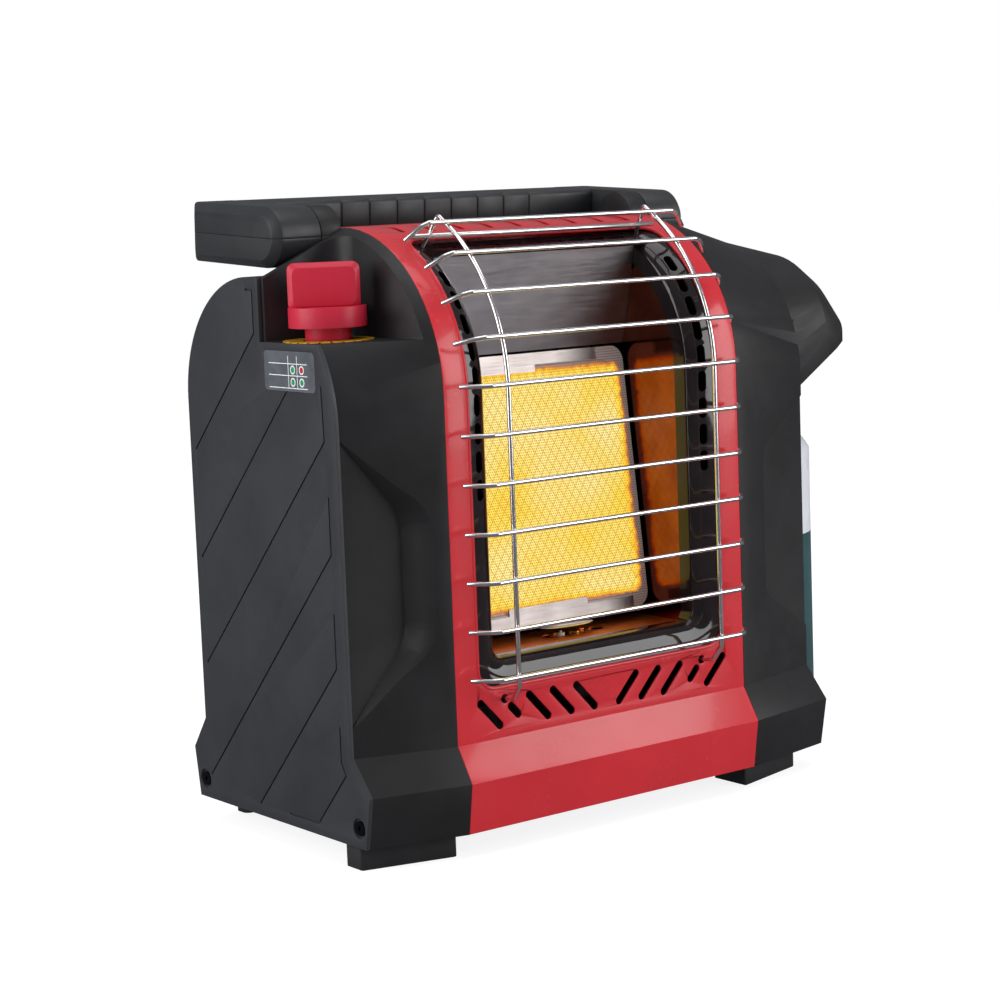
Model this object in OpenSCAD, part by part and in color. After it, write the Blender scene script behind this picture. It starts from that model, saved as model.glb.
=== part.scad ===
// Portable propane heater: a radiant burner behind a wire guard, in a steel and plastic case with a
// folding carrying handle, a control knob in a corner pocket and a gas bottle under the right shoulder.
// Millimetres. X runs to the right, Y to the back and Z up. The feet stand on Z = 0.

/* [Hood and front panel] */
// Width of the painted sheet panel
panel_w = 213.6; // [200:0.2:230]
// Thickness of the painted sheet
sheet_t = 1.2; // [0.8:0.1:1.6]
// Y of the panel's upright face
front_y = -85; // [-90:0.5:-80]
// Radius of the hood's curve
hood_r = 90; // [84:0.5:94]
// Height of the centre of the hood's curve
hood_axis_z = 254.5; // [248:0.5:262]
// Y of the hood's rear edge
hood_back_y = 18; // [14:0.5:22]
// Depth of the flange at the hood's rear edge
hood_flange = 24; // [18:0.5:24.2]
// Height where the skirt starts to kick out
kick_top_z = 61.9; // [58:0.1:66]
// Height of the skirt's widest line
kick_z = 42.8; // [38:0.1:46]
// How far the skirt kicks out
kick_out = 11.8; // [8:0.1:14]
// How far the skirt's lower edge comes back in
kick_in = 4.3; // [2:0.1:6]
// Height of the case's lower edge
skirt_z = 14; // [12:0.5:16]

/* [Fire opening] */
// Width of the opening in the panel
opening_w = 182; // [176:1:186]
// Height of the opening's lower edge
opening_z = 90; // [88:0.5:91]
// Corner radius of the opening
opening_corner_r = 12; // [8:0.5:14]
// Y of the opening's rear edge on the hood
opening_back_y = -30; // [-33:0.5:-30]

/* [Slots and vents] */
// Number of slots on top of the hood
slot_count = 9; // [5:2:9]
// Distance between the slots
slot_pitch = 20.6; // [16:0.1:21]
// Length of a slot
slot_len = 16; // [10:0.5:20]
// Width of a slot
slot_w = 3.5; // [2:0.1:5]
// Number of slanting vents on each side
vent_count = 5; // [3:1:5]
// Distance between the vents
vent_pitch = 17; // [14:0.1:17.5]
// Length of a vent between its end centres
vent_len = 19; // [12:0.5:20]
// Width of a vent
vent_w = 4.7; // [3:0.1:6]

/* [Inner frame] */
// Thickness of the enamelled sheet
frame_t = 1; // [0.8:0.1:1.2]
// Height of the frame's lower inner edge
frame_inner_z = 105; // [103:0.5:108]
// Depth of the inner edge behind the panel's face
frame_depth = 10; // [8:0.5:12]
// Length of the return lip
frame_lip = 8; // [5:0.5:10]
// Length of an oblong hole
hole_len = 12; // [8:0.5:13]
// Width of an oblong hole
hole_w = 5; // [3:0.2:6]
// Distance between the oblong holes
hole_pitch = 15.5; // [14:0.1:18]
// Number of holes up the straight part of each leg
holes_straight = 4; // [2:1:6]
// Number of holes round the curve of each leg
holes_curve = 5; // [2:1:5]

/* [Burner] */
// Width of the burner box
burner_w = 146; // [138:0.5:147]
// Height of the burner box
burner_h = 157; // [150:0.5:158]
// Depth of the burner box
burner_d = 34; // [28:0.5:38]
// Y of the lower front edge of the burner
burner_y = -38.5; // [-42:0.5:-34]
// Height of the lower front edge of the burner
burner_z = 111; // [110:0.5:113]
// How far the burner leans back, in degrees
burner_lean = 6.8; // [4:0.1:9]
// Width of the steel rim round the tile
rim_w = 7; // [5:0.5:9]
// Thickness of the ceramic tile
tile_t = 12.7; // [10:0.1:15]
// Outer radius of the mixing tube
venturi_r = 12; // [9:0.5:14]

/* [Guard] */
// Thickness of the guard wire
wire_d = 2.5; // [2:0.1:3]
// Radius of the crossbars' places round the hood's centre
guard_r = 108.25; // [104:0.25:112]
// Half length of a crossbar's straight stretch
guard_half = 90; // [86:0.5:94]
// Half distance between the crossbars' ends
guard_end_half = 101; // [97:0.5:104]
// How far the crossbars' ends reach back towards the panel
guard_drop = 11; // [8:0.5:13]
// Number of crossbars on the upright face
bars_straight = 7; // [5:1:7]
// Number of crossbars on the curve
bars_curve = 4; // [3:1:4]
// Distance between the crossbars on the upright face
bar_pitch = 26.7; // [24:0.1:26.8]
// Angle between the crossbars on the curve
bar_angle = 13.87; // [12:0.01:14]
// Height of the highest straight crossbar over the hood's centre
bar_top = 4.2; // [2:0.1:6]
// Half distance between the uprights
upright_half = 75; // [70:0.5:78]

/* [Housings] */
// X of the outer face of the left side panel
left_x = -165.4; // [-172:0.2:-162]
// Thickness of the left side panel
side_t = 2.4; // [2:0.1:3]
// X of the right housing's front edge
right_x = 177; // [174:0.5:180]
// Thickness of the housings' walls
wall = 2.5; // [2:0.1:3]
// Y of the housings' front at their outer edge
side_front_y = -67; // [-70:0.5:-64]
// Y of the case's back
back_y = 84; // [80:0.5:88]
// Height of the housings' top at their outer edge
side_top_z = 320; // [316:0.5:320]
// Radius of the side outline's front curve
side_front_r = 80; // [74:0.5:80]
// Radius of the side outline's back curve
side_back_r = 70; // [64:0.5:70]
// Y of the ridge where the lower deck starts
ridge_y = 4; // [3:0.5:4.5]
// Y of the flat floor of the front scoops
scoop_y = -66; // [-66.5:0.1:-64]

/* [Knob pocket] */
// Height of the pocket's floor
pocket_z = 284.5; // [282:0.5:287]
// X of the pocket's inner wall
pocket_x = -113; // [-115:0.5:-111.5]
// Y of the pocket's back wall
pocket_back_y = 1; // [-1:0.5:1]
// Corner radius of the pocket
pocket_r = 16; // [8:1:20]

/* [Knob and valve] */
// X of the knob's axis
knob_x = -139; // [-141:0.5:-138]
// Y of the knob's axis
knob_y = -25; // [-28:0.5:-24]
// Radius of the knob's neck
knob_neck_r = 12.7; // [11:0.1:14]
// Radius of the knob's skirt
knob_skirt_r = 21.5; // [19:0.5:23]
// Height of the skirt
knob_skirt_h = 11; // [8:0.5:13]
// Height of the grip bar
knob_grip_h = 24; // [18:0.5:28]
// Thickness of the grip bar
knob_grip_t = 15; // [12:0.5:18]
// Angle of the grip bar at rest, in degrees
knob_angle = -32; // [-60:1:0]
// How far the knob pushes down
knob_travel = 4; // [2:0.5:5]
// Radius of the valve spindle
spindle_r = 3; // [2.5:0.1:4]

/* [Handle] */
// Y of the handle's pivot
pivot_y = 21.9; // [21.5:0.1:23]
// Height of the handle's pivot
pivot_z = 340.7; // [340:0.1:343]
// Radius of the handle's pivot ends
handle_r = 17; // [15:0.25:17]
// X of the inner face of the handle's arms
arm_in_x = 121; // [118:0.5:124]
// X of the outer face of the handle's arms
arm_out_x = 151; // [148:0.5:154]
// Y of the grip's front
grip_front_y = 60; // [56:0.5:64]
// Y of the grip's back
grip_back_y = 101; // [94:0.5:103]
// Chamfer of the handle's rear corners
handle_chamfer = 7; // [4:0.5:9]
// How far the handle tilts up at rest, in degrees
handle_tilt = 3; // [2:0.1:4]
// Wall of the handle's shells
handle_wall = 3; // [2.4:0.1:4]
// Radius of the handle's pivot pins
pivot_pin_r = 4; // [3:0.1:5]

/* [Gas bottle and regulator] */
// Outer radius of the gas bottle
bottle_r = 49.5; // [47:0.5:50]
// X of the bottle's axis
bottle_x = 169.6; // [167:0.2:172]
// Y of the bottle's axis
bottle_y = -10; // [-11:0.5:-9]
// Height of the bottle's bottom
bottle_z = 47; // [46:0.5:50]
// Height of the bottle's straight wall, from its bottom
bottle_wall_h = 145; // [135:1:148]
// Height of the bottle's domed shoulder
bottle_dome_h = 31; // [26:0.5:33]
// Radius of the bottle's neck
neck_r = 12.4; // [11:0.1:13]
// Height of the bottle's neck
neck_h = 17; // [14:0.5:18]
// X of the regulator's pivot
swing_x = 150; // [148:0.5:152]
// Height of the regulator's pivot
swing_z = 272; // [270:0.5:275]
// Radius of the regulator's pivot pin
swing_pin_r = 4; // [3:0.1:5]

/* [Feet] */
// Height of the feet, set by the case's lower edge when equal
foot_h = 14; // [12:0.5:16]
// Length of the front feet, front to back
foot_len = 26; // [20:1:30]

/* [Clearances] */
// Gap of a shaft in its hole, on the radius
run_gap = 0.05; // [0.02:0.01:0.09]
// Gap between loose parts
loose_gap = 0.35; // [0.3:0.05:0.6]

/* [Hidden] */
$fn = 64;
eps = 0.01;
lap = 10;
far = 500;

// Colours
red_paint = "#C9353C";
crimson = "#A8213A";
black_plastic = "#2B2A2B";
grey_plastic = "#3F4043";
enamel = "#1B1A1C";
chrome = "#C9CBCE";
steel = "#8C8E90";
dark_steel = "#54514F";
brass = "#B58A3C";
copper = "#A6623A";
glow = "#FFC94A";
ceramic = "#E8E2D2";
bottle_green = "#2F4F4F";
rubber = "#242326";
yellow = "#D9A514";

// Places worked out from the sizes above
panel_half = panel_w / 2;
hood_axis_y = front_y + hood_r;
hood_top_z = hood_axis_z + hood_r;
kick_y = front_y - kick_out;
side_kick_y = side_front_y - kick_out * 1.4;
back_kick_y = back_y + kick_out * 1.2;
housing_x = left_x + side_t;
hump_x = right_x + 44;
guard_y = hood_axis_y - guard_r;
shift_x = -(left_x + hump_x) / 2;
handle_back_y = pivot_y + (grip_back_y - pivot_y) * cos(handle_tilt) + handle_r * sin(handle_tilt);
shift_y = -(guard_y - wire_d / 2 + max(back_kick_y, handle_back_y)) / 2;
knob_z = pocket_z + 7.5;
foot_top = min(foot_h, skirt_z);
frame_inner_x = burner_w / 2 + 1;
frame_outer_x = opening_w / 2 + 3.5;
frame_out = sheet_t + 0.3;
frame_corner_r = 7;
leg_angle = 67;
rail_holes = floor((frame_inner_x - hole_len / 2) / hole_pitch);
hook_x = upright_half - 1.7;
hook_z = opening_z - 6.7;
chamber_x = frame_inner_x + frame_t + 0.1;
reflector_t = 0.8;
pilot_y = burner_y - 6;
pilot_z = frame_inner_z - 17;
thermocouple_x = 20;
barrel_r = pivot_pin_r + 3.2;
side_screw_seat = 1.25;
collar_z = bottle_z + bottle_wall_h + bottle_dome_h + 5;
regulator_z = bottle_z + bottle_wall_h + bottle_dome_h + neck_h + 2;
alcove_x = panel_half + 3;
bend_swell = 1.04;
well_z = 30;
plinth_top_z = 42;

// Everything stands in one frame, centred over the case
module placed() {
  translate([shift_x, shift_y, 0]) children();
}

// An outline in Y and Z, stretched from x0 to x1
module along_x(x0, x1) {
  translate([x0, 0, 0]) rotate([90, 0, 90]) linear_extrude(x1 - x0) children();
}

// An outline in X and Z, stretched from y0 to y1
module along_y(y0, y1) {
  translate([0, y1, 0]) rotate([90, 0, 0]) linear_extrude(y1 - y0) children();
}

// An outline in X and Y, stretched from z0 to z1
module along_z(z0, z1) {
  translate([0, 0, z0]) linear_extrude(z1 - z0) children();
}

// An outline in radius and X, turned round the hood's centre from the front upwards
module round_hood(angle, start = 0) {
  translate([0, hood_axis_y, hood_axis_z]) rotate([-start, 0, 0]) rotate([90, 0, -90])
    rotate_extrude(angle = angle - start, $fn = 96) mirror([0, 1]) children();
}

// A shape at the hood's front, moved up the curve by an angle
module up_hood(angle) {
  translate([0, hood_axis_y, hood_axis_z]) rotate([-angle, 0, 0]) children();
}

module both_sides() {
  children();
  mirror([1, 0, 0]) children();
}

// A round-ended slot, long across its first axis
module slot2d(length, width) {
  square([length - width, width], center = true);
  translate([(length - width) / 2, 0]) circle(d = width, $fn = 24);
  translate([-(length - width) / 2, 0]) circle(d = width, $fn = 24);
}

module rounded2d(x0, y0, x1, y1, r) {
  translate([x0 + r, y0]) square([x1 - x0 - 2 * r, y1 - y0]);
  translate([x0, y0 + r]) square([x1 - x0, y1 - y0 - 2 * r]);
  for (x = [x0 + r, x1 - r], y = [y0 + r, y1 - r]) translate([x, y]) circle(r, $fn = 32);
}

// A straight round bar between two points
module bar(a, b, d) {
  v = b - a;
  len = norm(v);
  translate(a) rotate([0, acos(v.z / len), atan2(v.y, v.x)]) cylinder(h = len, d = d, $fn = 32);
}

// A rod through a list of points, with a slightly swollen ball at each bend
module rod(points, d) {
  last = len(points) - 1;
  for (i = [0 : last - 1]) bar(points[i], points[i + 1], d);
  if (last > 1)
    for (i = [1 : last - 1]) translate(points[i]) sphere(d = d * bend_swell, $fn = 32);
}

// ---- Outlines in Y and Z ----

// The panel's outline, filled, drawn in by t
module hood2d(t) {
  r = hood_r - t;
  y0 = front_y + t;
  y1 = hood_back_y - t;
  drop = t > 0 ? 1 : 0;
  intersection() {
    translate([hood_axis_y, hood_axis_z]) circle(r, $fn = 96);
    translate([y0 - lap, hood_axis_z - lap]) square([y1 - y0 + lap, r + 2 * lap]);
  }
  translate([hood_axis_y, hood_axis_z - lap]) square([y1 - hood_axis_y, r + lap]);
  polygon([[y0, hood_axis_z], [y0, kick_top_z], [kick_y + t, kick_z],
    [kick_y + kick_in + t, skirt_z - drop], [y1, skirt_z - drop], [y1, hood_axis_z]]);
}

// The case's back outline, filled, from a given Y, drawn in by t
module back2d(y0, t, z0 = skirt_z) {
  r = side_back_r - t;
  cy = back_y - side_back_r;
  cz = side_top_z - side_back_r;
  kick = z0 < kick_top_z ? [[back_kick_y - kick_in - t, z0], [back_kick_y - t, kick_z]] : [];
  intersection() {
    translate([cy, cz]) circle(r, $fn = 96);
    translate([y0, cz - lap]) square([far, far]);
  }
  if (y0 < cy) translate([y0, cz - lap]) square([cy - y0, r + lap]);
  polygon(concat([[y0, cz], [y0, z0]], kick,
    [[back_y - t, max(z0, kick_top_z)], [back_y - t, cz]]));
}

// The left side's outline, filled
module side2d() {
  cy = side_front_y + side_front_r;
  cz = side_top_z - side_front_r;
  intersection() {
    translate([cy, cz]) circle(side_front_r, $fn = 96);
    translate([side_front_y - lap, cz - lap]) square([side_front_r + 2 * lap, far]);
  }
  polygon([[side_front_y, cz], [side_front_y, kick_top_z], [side_kick_y, kick_z],
    [side_kick_y + kick_in + 1, skirt_z], [cy + lap, skirt_z], [cy + lap, cz]]);
  back2d(cy, 0);
}

// ---- Housing bodies ----

// A thin slice of the case at the panel's edge, front of the ridge
module inner_slice(x, t) {
  along_x(x, x + eps) {
    intersection() {
      translate([hood_axis_y, hood_axis_z]) circle(hood_r - t, $fn = 64);
      translate([front_y, hood_axis_z]) square([ridge_y - t - front_y, hood_r]);
    }
    translate([front_y + t, kick_top_z - eps]) square([ridge_y - front_y - 2 * t, 1]);
  }
}

// A thin slice of the case at its outer edge, front of the ridge
module outer_slice(x, t, top_z) {
  cy = side_front_y + side_front_r;
  cz = top_z - side_front_r;
  along_x(x, x + eps) {
    intersection() {
      translate([cy, cz]) circle(side_front_r - t, $fn = 64);
      translate([side_front_y, cz]) square([ridge_y - t - side_front_y, side_front_r]);
    }
    translate([side_front_y + t, kick_top_z - eps]) square([ridge_y - side_front_y - 2 * t, 1]);
  }
}

// The case in front of the ridge, between the panel's edge and an outer edge
module front_body(x_in, x_out, t, top_z = side_top_z) {
  hull() {
    inner_slice(x_in, t);
    outer_slice(x_out, t, top_z);
  }
}

// The kicked-out plinth between the panel's edge and an outer edge
module plinth_body(x_in, x_out, t) {
  drop = t > 0 ? 1 : 0;
  hull() {
    along_x(x_in, x_in + eps)
      polygon([[front_y + t, kick_top_z], [kick_y + t, kick_z], [kick_y + kick_in + t, skirt_z - drop],
        [back_kick_y - kick_in - t, skirt_z - drop], [back_kick_y - t, kick_z],
        [back_y - t, kick_top_z]]);
    along_x(x_out - eps, x_out)
      polygon([[side_front_y + t, kick_top_z], [side_kick_y + t, kick_z],
        [side_kick_y + kick_in + 1 + t, skirt_z - drop],
        [back_kick_y - kick_in - t, skirt_z - drop], [back_kick_y - t, kick_z],
        [back_y - t, kick_top_z]]);
  }
}

// The outline in X and Z of a front scoop, open to the outer edge
module scoop2d(edge_x, deep_x, top_z, bottom_z, slope, r) {
  s = sign(edge_x);
  offset(r = r, $fn = 32) offset(delta = -r)
    polygon([[edge_x + s * 60, top_z + 60 * slope], [edge_x, top_z],
      [deep_x, top_z - (abs(edge_x) - abs(deep_x)) * slope],
      [deep_x, bottom_z + (abs(edge_x) - abs(deep_x)) * slope], [edge_x, bottom_z],
      [edge_x + s * 60, bottom_z - 60 * slope]]);
}

module left_scoop2d() {
  scoop2d(left_x, -125.5, 236, 76, 1.15, 26);
}

// A slice of the left scoop's drafted wall, a given way in front of its floor
module scoop_slice(way, grow) {
  along_y(scoop_y - way - eps, scoop_y - way) offset(r = grow) left_scoop2d();
}

module left_scoop() {
  hull() {
    scoop_slice(0, 0);
    scoop_slice(10, 4.6);
  }
  hull() {
    scoop_slice(9.8, 4.5);
    scoop_slice(22, 14.7);
  }
}

module right_scoop2d() {
  scoop2d(right_x, 133, 230, 87, 0.62, 14);
}

// ---- Sheet metal of the front ----

module front_panel() {
  color(red_paint) placed() difference() {
    along_x(-panel_half, panel_half) difference() {
      hood2d(0);
      hood2d(sheet_t);
      translate([hood_back_y - 2 * sheet_t, skirt_z - 2])
        square([4 * sheet_t, hood_top_z - hood_flange - skirt_z + 2]);
      translate([front_y + 30, skirt_z - 2]) square([60, 20]);
    }
    intersection() {
      along_y(-far, opening_back_y)
        rounded2d(-opening_w / 2, opening_z, opening_w / 2, hood_top_z + 20, opening_corner_r);
      along_z(opening_z - 1, hood_top_z + 20)
        rounded2d(-opening_w / 2, front_y - 60, opening_w / 2, opening_back_y, opening_corner_r);
    }
    for (i = [0 : slot_count - 1])
      translate([(i - (slot_count - 1) / 2) * slot_pitch, opening_back_y + 17, hood_top_z - 15])
        linear_extrude(30) rotate(90) slot2d(slot_len, slot_w);
    both_sides() for (i = [0 : vent_count - 1])
      translate([-15.6 - vent_pitch * i, front_y + 5, 76]) rotate([90, 0, 0])
        linear_extrude(10) rotate(-47) slot2d(i == 3 ? vent_len * 0.62 : vent_len + vent_w, vent_w);
    both_sides() translate([hook_x, front_y + 5, hook_z]) rotate([90, 0, 0])
      cylinder(h = 10, r = wire_d, $fn = 24);
  }
}

// Section of the enamelled frame: distance across the edge and depth behind the panel's face.
// The face is a quarter ellipse that ends in a return lip.
function frame_arc(a, b, n) = [for (i = [0 : n]) [a * sin(90 * i / n), b * (1 - cos(90 * i / n))]];

module frame_section(span) {
  depth = frame_depth - frame_out;
  outer = frame_arc(span, depth, 6);
  inner = frame_arc(span - frame_t, depth, 6);
  polygon(concat(
    [for (p = outer) [p.x, p.y]],
    [[span, depth + frame_lip], [span - frame_t, depth + frame_lip]],
    [for (i = [6 : -1 : 0]) [inner[i].x, inner[i].y + frame_t]]));
}

module inner_frame() {
  span_x = frame_outer_x - frame_inner_x;
  hole_x = (frame_inner_x + opening_w / 2) / 2;
  y0 = front_y + frame_out;
  r0 = hood_r - frame_out;
  rail_r = r0 - 3;
  color(enamel) placed() difference() {
    union() {
      both_sides() {
        along_z(frame_inner_z + frame_corner_r, hood_axis_z)
          translate([frame_outer_x, y0]) mirror([1, 0]) frame_section(span_x);
        round_hood(leg_angle)
          translate([r0, frame_outer_x]) rotate(-90) mirror([0, 1]) frame_section(span_x);
        translate([frame_inner_x - frame_corner_r, 0, frame_inner_z + frame_corner_r])
          rotate([90, 90, 0]) rotate_extrude(angle = 90)
            translate([frame_corner_r + span_x, -y0]) mirror([1, 0]) mirror([0, 1])
              frame_section(span_x);
      }
      along_x(-frame_inner_x + frame_corner_r, frame_inner_x - frame_corner_r)
        translate([y0, frame_inner_z - span_x]) rotate(90) mirror([0, 1])
          frame_section(span_x);
      round_hood(leg_angle + 1, leg_angle - 9) translate([rail_r - frame_t, -frame_outer_x])
        square([frame_t, 2 * frame_outer_x]);
    }
    both_sides() for (i = [0 : holes_straight - 1])
      translate([hole_x, front_y + 20, hood_axis_z - hole_pitch * (i + 0.5)])
        rotate([90, 0, 0]) linear_extrude(30) rotate(90) slot2d(hole_len, hole_w);
    both_sides() for (i = [0 : holes_curve - 1])
      up_hood((i + 0.5) * hole_pitch / hood_r * 180 / PI)
        translate([hole_x, -hood_r + 15, 0])
          rotate([90, 0, 0]) linear_extrude(30) rotate(90) slot2d(hole_len, hole_w);
    for (i = [-rail_holes : rail_holes]) up_hood(leg_angle - 3)
      translate([i * hole_pitch, -rail_r + 5, 0])
        rotate([90, 0, 0]) linear_extrude(10) slot2d(hole_len, 3);
  }
}

// ---- Reflectors ----

module reflector_side2d() {
  r = hood_r - frame_depth - 1.2;
  difference() {
    union() {
      intersection() {
        translate([hood_axis_y, hood_axis_z]) circle(r, $fn = 96);
        translate([hood_axis_y - r - lap, hood_axis_z - lap]) square([r + 2 * lap, far]);
      }
      translate([hood_axis_y - r, frame_inner_z - 1]) square([r, hood_axis_z - frame_inner_z + 1]);
    }
    polygon([[-35.4, 328], [-20.4, 268.2], [burner_y + 2, burner_z - 2], [burner_y + 2, 90],
      [60, 90], [60, 400], [-35.4, 400]]);
  }
}

module reflector_side() {
  along_x(chamber_x, chamber_x + reflector_t) reflector_side2d();
}

module reflector_left() {
  color(dark_steel) placed() mirror([1, 0, 0]) reflector_side();
}

module reflector_right() {
  color(dark_steel) placed() reflector_side();
}

module reflector_upper() {
  foot = [-20.2, 268.4];
  low = [-31.176, 312];
  high = [-35.2, 328];
  t = [reflector_t, 0];
  color(dark_steel) placed() {
    along_x(-chamber_x, chamber_x) polygon([foot, low, low + t, foot + t]);
    along_x(0.1 - frame_inner_x, frame_inner_x - 0.1) polygon([foot, high, high + t, foot + t]);
  }
}

module reflector_pan() {
  top = frame_inner_z - frame_t - 0.1;
  color(dark_steel) placed() difference() {
    along_x(-chamber_x, chamber_x) translate([front_y + frame_depth + 1, top - reflector_t])
      square([burner_y + 12 - front_y - frame_depth - 1, reflector_t]);
    along_z(top - 5, top + 5) translate([9, pilot_y]) slot2d(44, 10);
  }
}

// ---- Burner ----

// The burner's own frame: its front face lies in X and Z and it leans back
module burner_frame() {
  translate([0, burner_y, burner_z]) rotate([-burner_lean, 0, 0]) children();
}

module tile_rim() {
  color(steel) placed() burner_frame() along_y(-1, 0) difference() {
    rounded2d(-burner_w / 2, 0, burner_w / 2, burner_h, 9);
    rounded2d(-burner_w / 2 + rim_w, rim_w + 1, burner_w / 2 - rim_w, burner_h - rim_w - 1, 11);
  }
}

module ceramic_tile() {
  color(glow) placed() burner_frame() along_y(0.1, tile_t)
    rounded2d(-burner_w / 2 + 2, 2, burner_w / 2 - 2, burner_h - 2, 7);
}

module burner_box() {
  color(steel) placed() burner_frame() {
    difference() {
      along_y(0.1, burner_d) rounded2d(-burner_w / 2, 0, burner_w / 2, burner_h, 9);
      along_y(-1, burner_d - 1) rounded2d(-burner_w / 2 + 1, 1, burner_w / 2 - 1, burner_h - 1, 8);
      translate([0, burner_d - 2, burner_h * 0.38]) rotate([-90, 0, 0])
        cylinder(h = 4, r = venturi_r - 1, $fn = 48);
    }
    both_sides() for (z = [burner_h * 0.2, burner_h * 0.8])
      translate([burner_w / 2 - 0.2, 8, z]) cube([chamber_x - burner_w / 2 + 0.2, 12, 10]);
  }
}

module tile_clips() {
  color(chrome) placed() burner_frame() {
    along_y(-2, -1) translate([-burner_w / 2 + 2, burner_h - rim_w])
      union() {
        square([burner_w * 0.84, rim_w]);
        translate([0, -4]) square([burner_w * 0.52, 5]);
      }
    along_y(-2, -1) translate([-burner_w / 2 + 2, 0])
      union() {
        square([burner_w * 0.9, rim_w]);
        translate([burner_w * 0.26, rim_w - 1]) square([burner_w * 0.4, 5]);
      }
  }
}

module venturi() {
  z = burner_h * 0.38;
  bend_y = burner_d + 26;
  color(steel) placed() burner_frame() difference() {
    union() {
      bar([0, burner_d, z], [0, bend_y, z], 2 * venturi_r);
      translate([0, bend_y, z]) sphere(venturi_r, $fn = 48);
      bar([0, bend_y, z], [-80, bend_y, z], 2 * venturi_r);
    }
    bar([0, burner_d - 1, z], [0, bend_y, z], 2 * venturi_r - 2);
    translate([0, bend_y, z]) sphere(venturi_r - 1, $fn = 48);
    bar([0, bend_y, z], [-82, bend_y, z], 2 * venturi_r - 2);
    translate([-66, bend_y - 20, z]) rotate([-90, 0, 0]) cylinder(h = 40, r = 5, $fn = 24);
  }
}

module jet_holder() {
  z = burner_h * 0.38;
  bend_y = burner_d + 26;
  color(brass) placed() burner_frame() {
    bar([-80, bend_y, z], [-92, bend_y, z], 2 * venturi_r);
    bar([-76, bend_y, z], [-80, bend_y, z], 8);
  }
}

module pilot_burner() {
  color(brass) placed() difference() {
    union() {
      translate([10, pilot_y, pilot_z]) cylinder(h = 17, d = 8, $fn = 32);
      translate([-6, pilot_y - 4, pilot_z + 13]) cube([32, 8, 2]);
    }
    translate([thermocouple_x, pilot_y, pilot_z]) cylinder(h = 20, d = 4.2, $fn = 24);
    translate([0, pilot_y, pilot_z]) cylinder(h = 20, d = 5.2, $fn = 24);
  }
}

module pilot_shield() {
  color(chrome) placed() translate([4, pilot_y - 2.5, frame_inner_z + 5]) rotate([-38, 0, 0])
    translate([0, 0, -0.5]) linear_extrude(1) difference() {
      slot2d(42, 13);
      translate([6, 1]) circle(d = 3, $fn = 24);
    }
  color(chrome) placed() translate([-14, pilot_y - 3, frame_inner_z - frame_t - 0.1])
    cube([6, 1.5, 5.6]);
}

module thermocouple() {
  color(copper) placed()
    translate([thermocouple_x, pilot_y, pilot_z + 3]) cylinder(h = 14, d = 4, $fn = 24);
}

module spark_electrode() {
  color(ceramic) placed() {
    translate([0, pilot_y, pilot_z + 3]) cylinder(h = 14, d = 5, $fn = 24);
    translate([0, pilot_y, pilot_z + 17 - eps]) cylinder(h = 1.2, d = 1.6, $fn = 24);
  }
}

module heat_shield() {
  y = burner_y + burner_d + 46;
  color(steel) placed() {
    difference() {
      along_y(y, y + 1) rounded2d(-100, skirt_z + 1.5, 100, 248, 4);
      translate([0, y - 5, 60]) rotate([-90, 0, 0]) cylinder(h = 12, r = 14, $fn = 32);
    }
  }
}

// ---- Gas train ----

module gas_valve() {
  color(brass) placed() difference() {
    union() {
      along_z(pocket_z - 44, pocket_z - 14)
        rounded2d(knob_x - 18, knob_y - 17, knob_x + 17, knob_y + 18, 4);
      translate([knob_x, knob_y, pocket_z - 15]) cylinder(h = 9.5, r = 8.1, $fn = 48);
      for (post = [[13, 13], [-13, -12]]) translate([knob_x + post.x, knob_y + post.y, pocket_z - 15])
        cylinder(h = 15 - wall, r = 3, $fn = 24);
    }
    translate([knob_x, knob_y, pocket_z - 38])
      cylinder(h = 40, r = spindle_r + run_gap, $fn = 48);
  }
}

module igniter() {
  color(black_plastic) placed()
    translate([knob_x - 8, knob_y + 8, pocket_z - 74]) cylinder(h = 30, r = 8, $fn = 32);
}

module valve_spindle() {
  color(steel) placed() translate([knob_x, knob_y, pocket_z - 37])
    cylinder(h = 59, r = spindle_r, $fn = 48);
}

module knob_spring() {
  color(steel) placed() translate([knob_x, knob_y, pocket_z - 5.2]) difference() {
    cylinder(h = 14, r = 7.4, $fn = 48);
    translate([0, 0, -1]) cylinder(h = 16, r = 6.2, $fn = 48);
  }
}

// The knob's grip bar: its broad faces have bevelled edges
module knob_grip() {
  bevel = 2.6;
  hull() for (layer = [[0, knob_grip_t - 2 * bevel], [bevel, knob_grip_t]])
    along_y(-layer[1] / 2, layer[1] / 2)
      rounded2d(layer[0] - knob_skirt_r + 0.4, layer[0] - 2, knob_skirt_r - 3.2 - layer[0],
        knob_grip_h - layer[0], 4);
}

module control_knob() {
  color(crimson) placed() translate([knob_x, knob_y, 0]) difference() {
    union() {
      translate([0, 0, pocket_z - 3.5]) cylinder(h = knob_z - pocket_z + 4, r = knob_neck_r, $fn = 64);
      translate([0, 0, knob_z]) cylinder(h = knob_skirt_h, r = knob_skirt_r, $fn = 64);
      translate([0, 0, knob_z + knob_skirt_h - eps]) rotate(knob_angle) knob_grip();
    }
    translate([0, 0, pocket_z - 4]) cylinder(h = 32, r = spindle_r + run_gap, $fn = 48);
    translate([0, 0, pocket_z - 4]) difference() {
      cylinder(h = 13.2, r = 8.45, $fn = 48);
      translate([0, 0, knob_travel - 0.9]) cylinder(h = 14, r = 5.2, $fn = 48);
    }
  }
}

module dial_ring() {
  color(yellow) placed() along_z(pocket_z, pocket_z + 0.4) translate([knob_x, knob_y])
    difference() {
      circle(25, $fn = 96);
      circle(knob_neck_r + 1.3, $fn = 64);
    }
}

pipe_y = 48;
pipe_z = pocket_z - 29;

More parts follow.
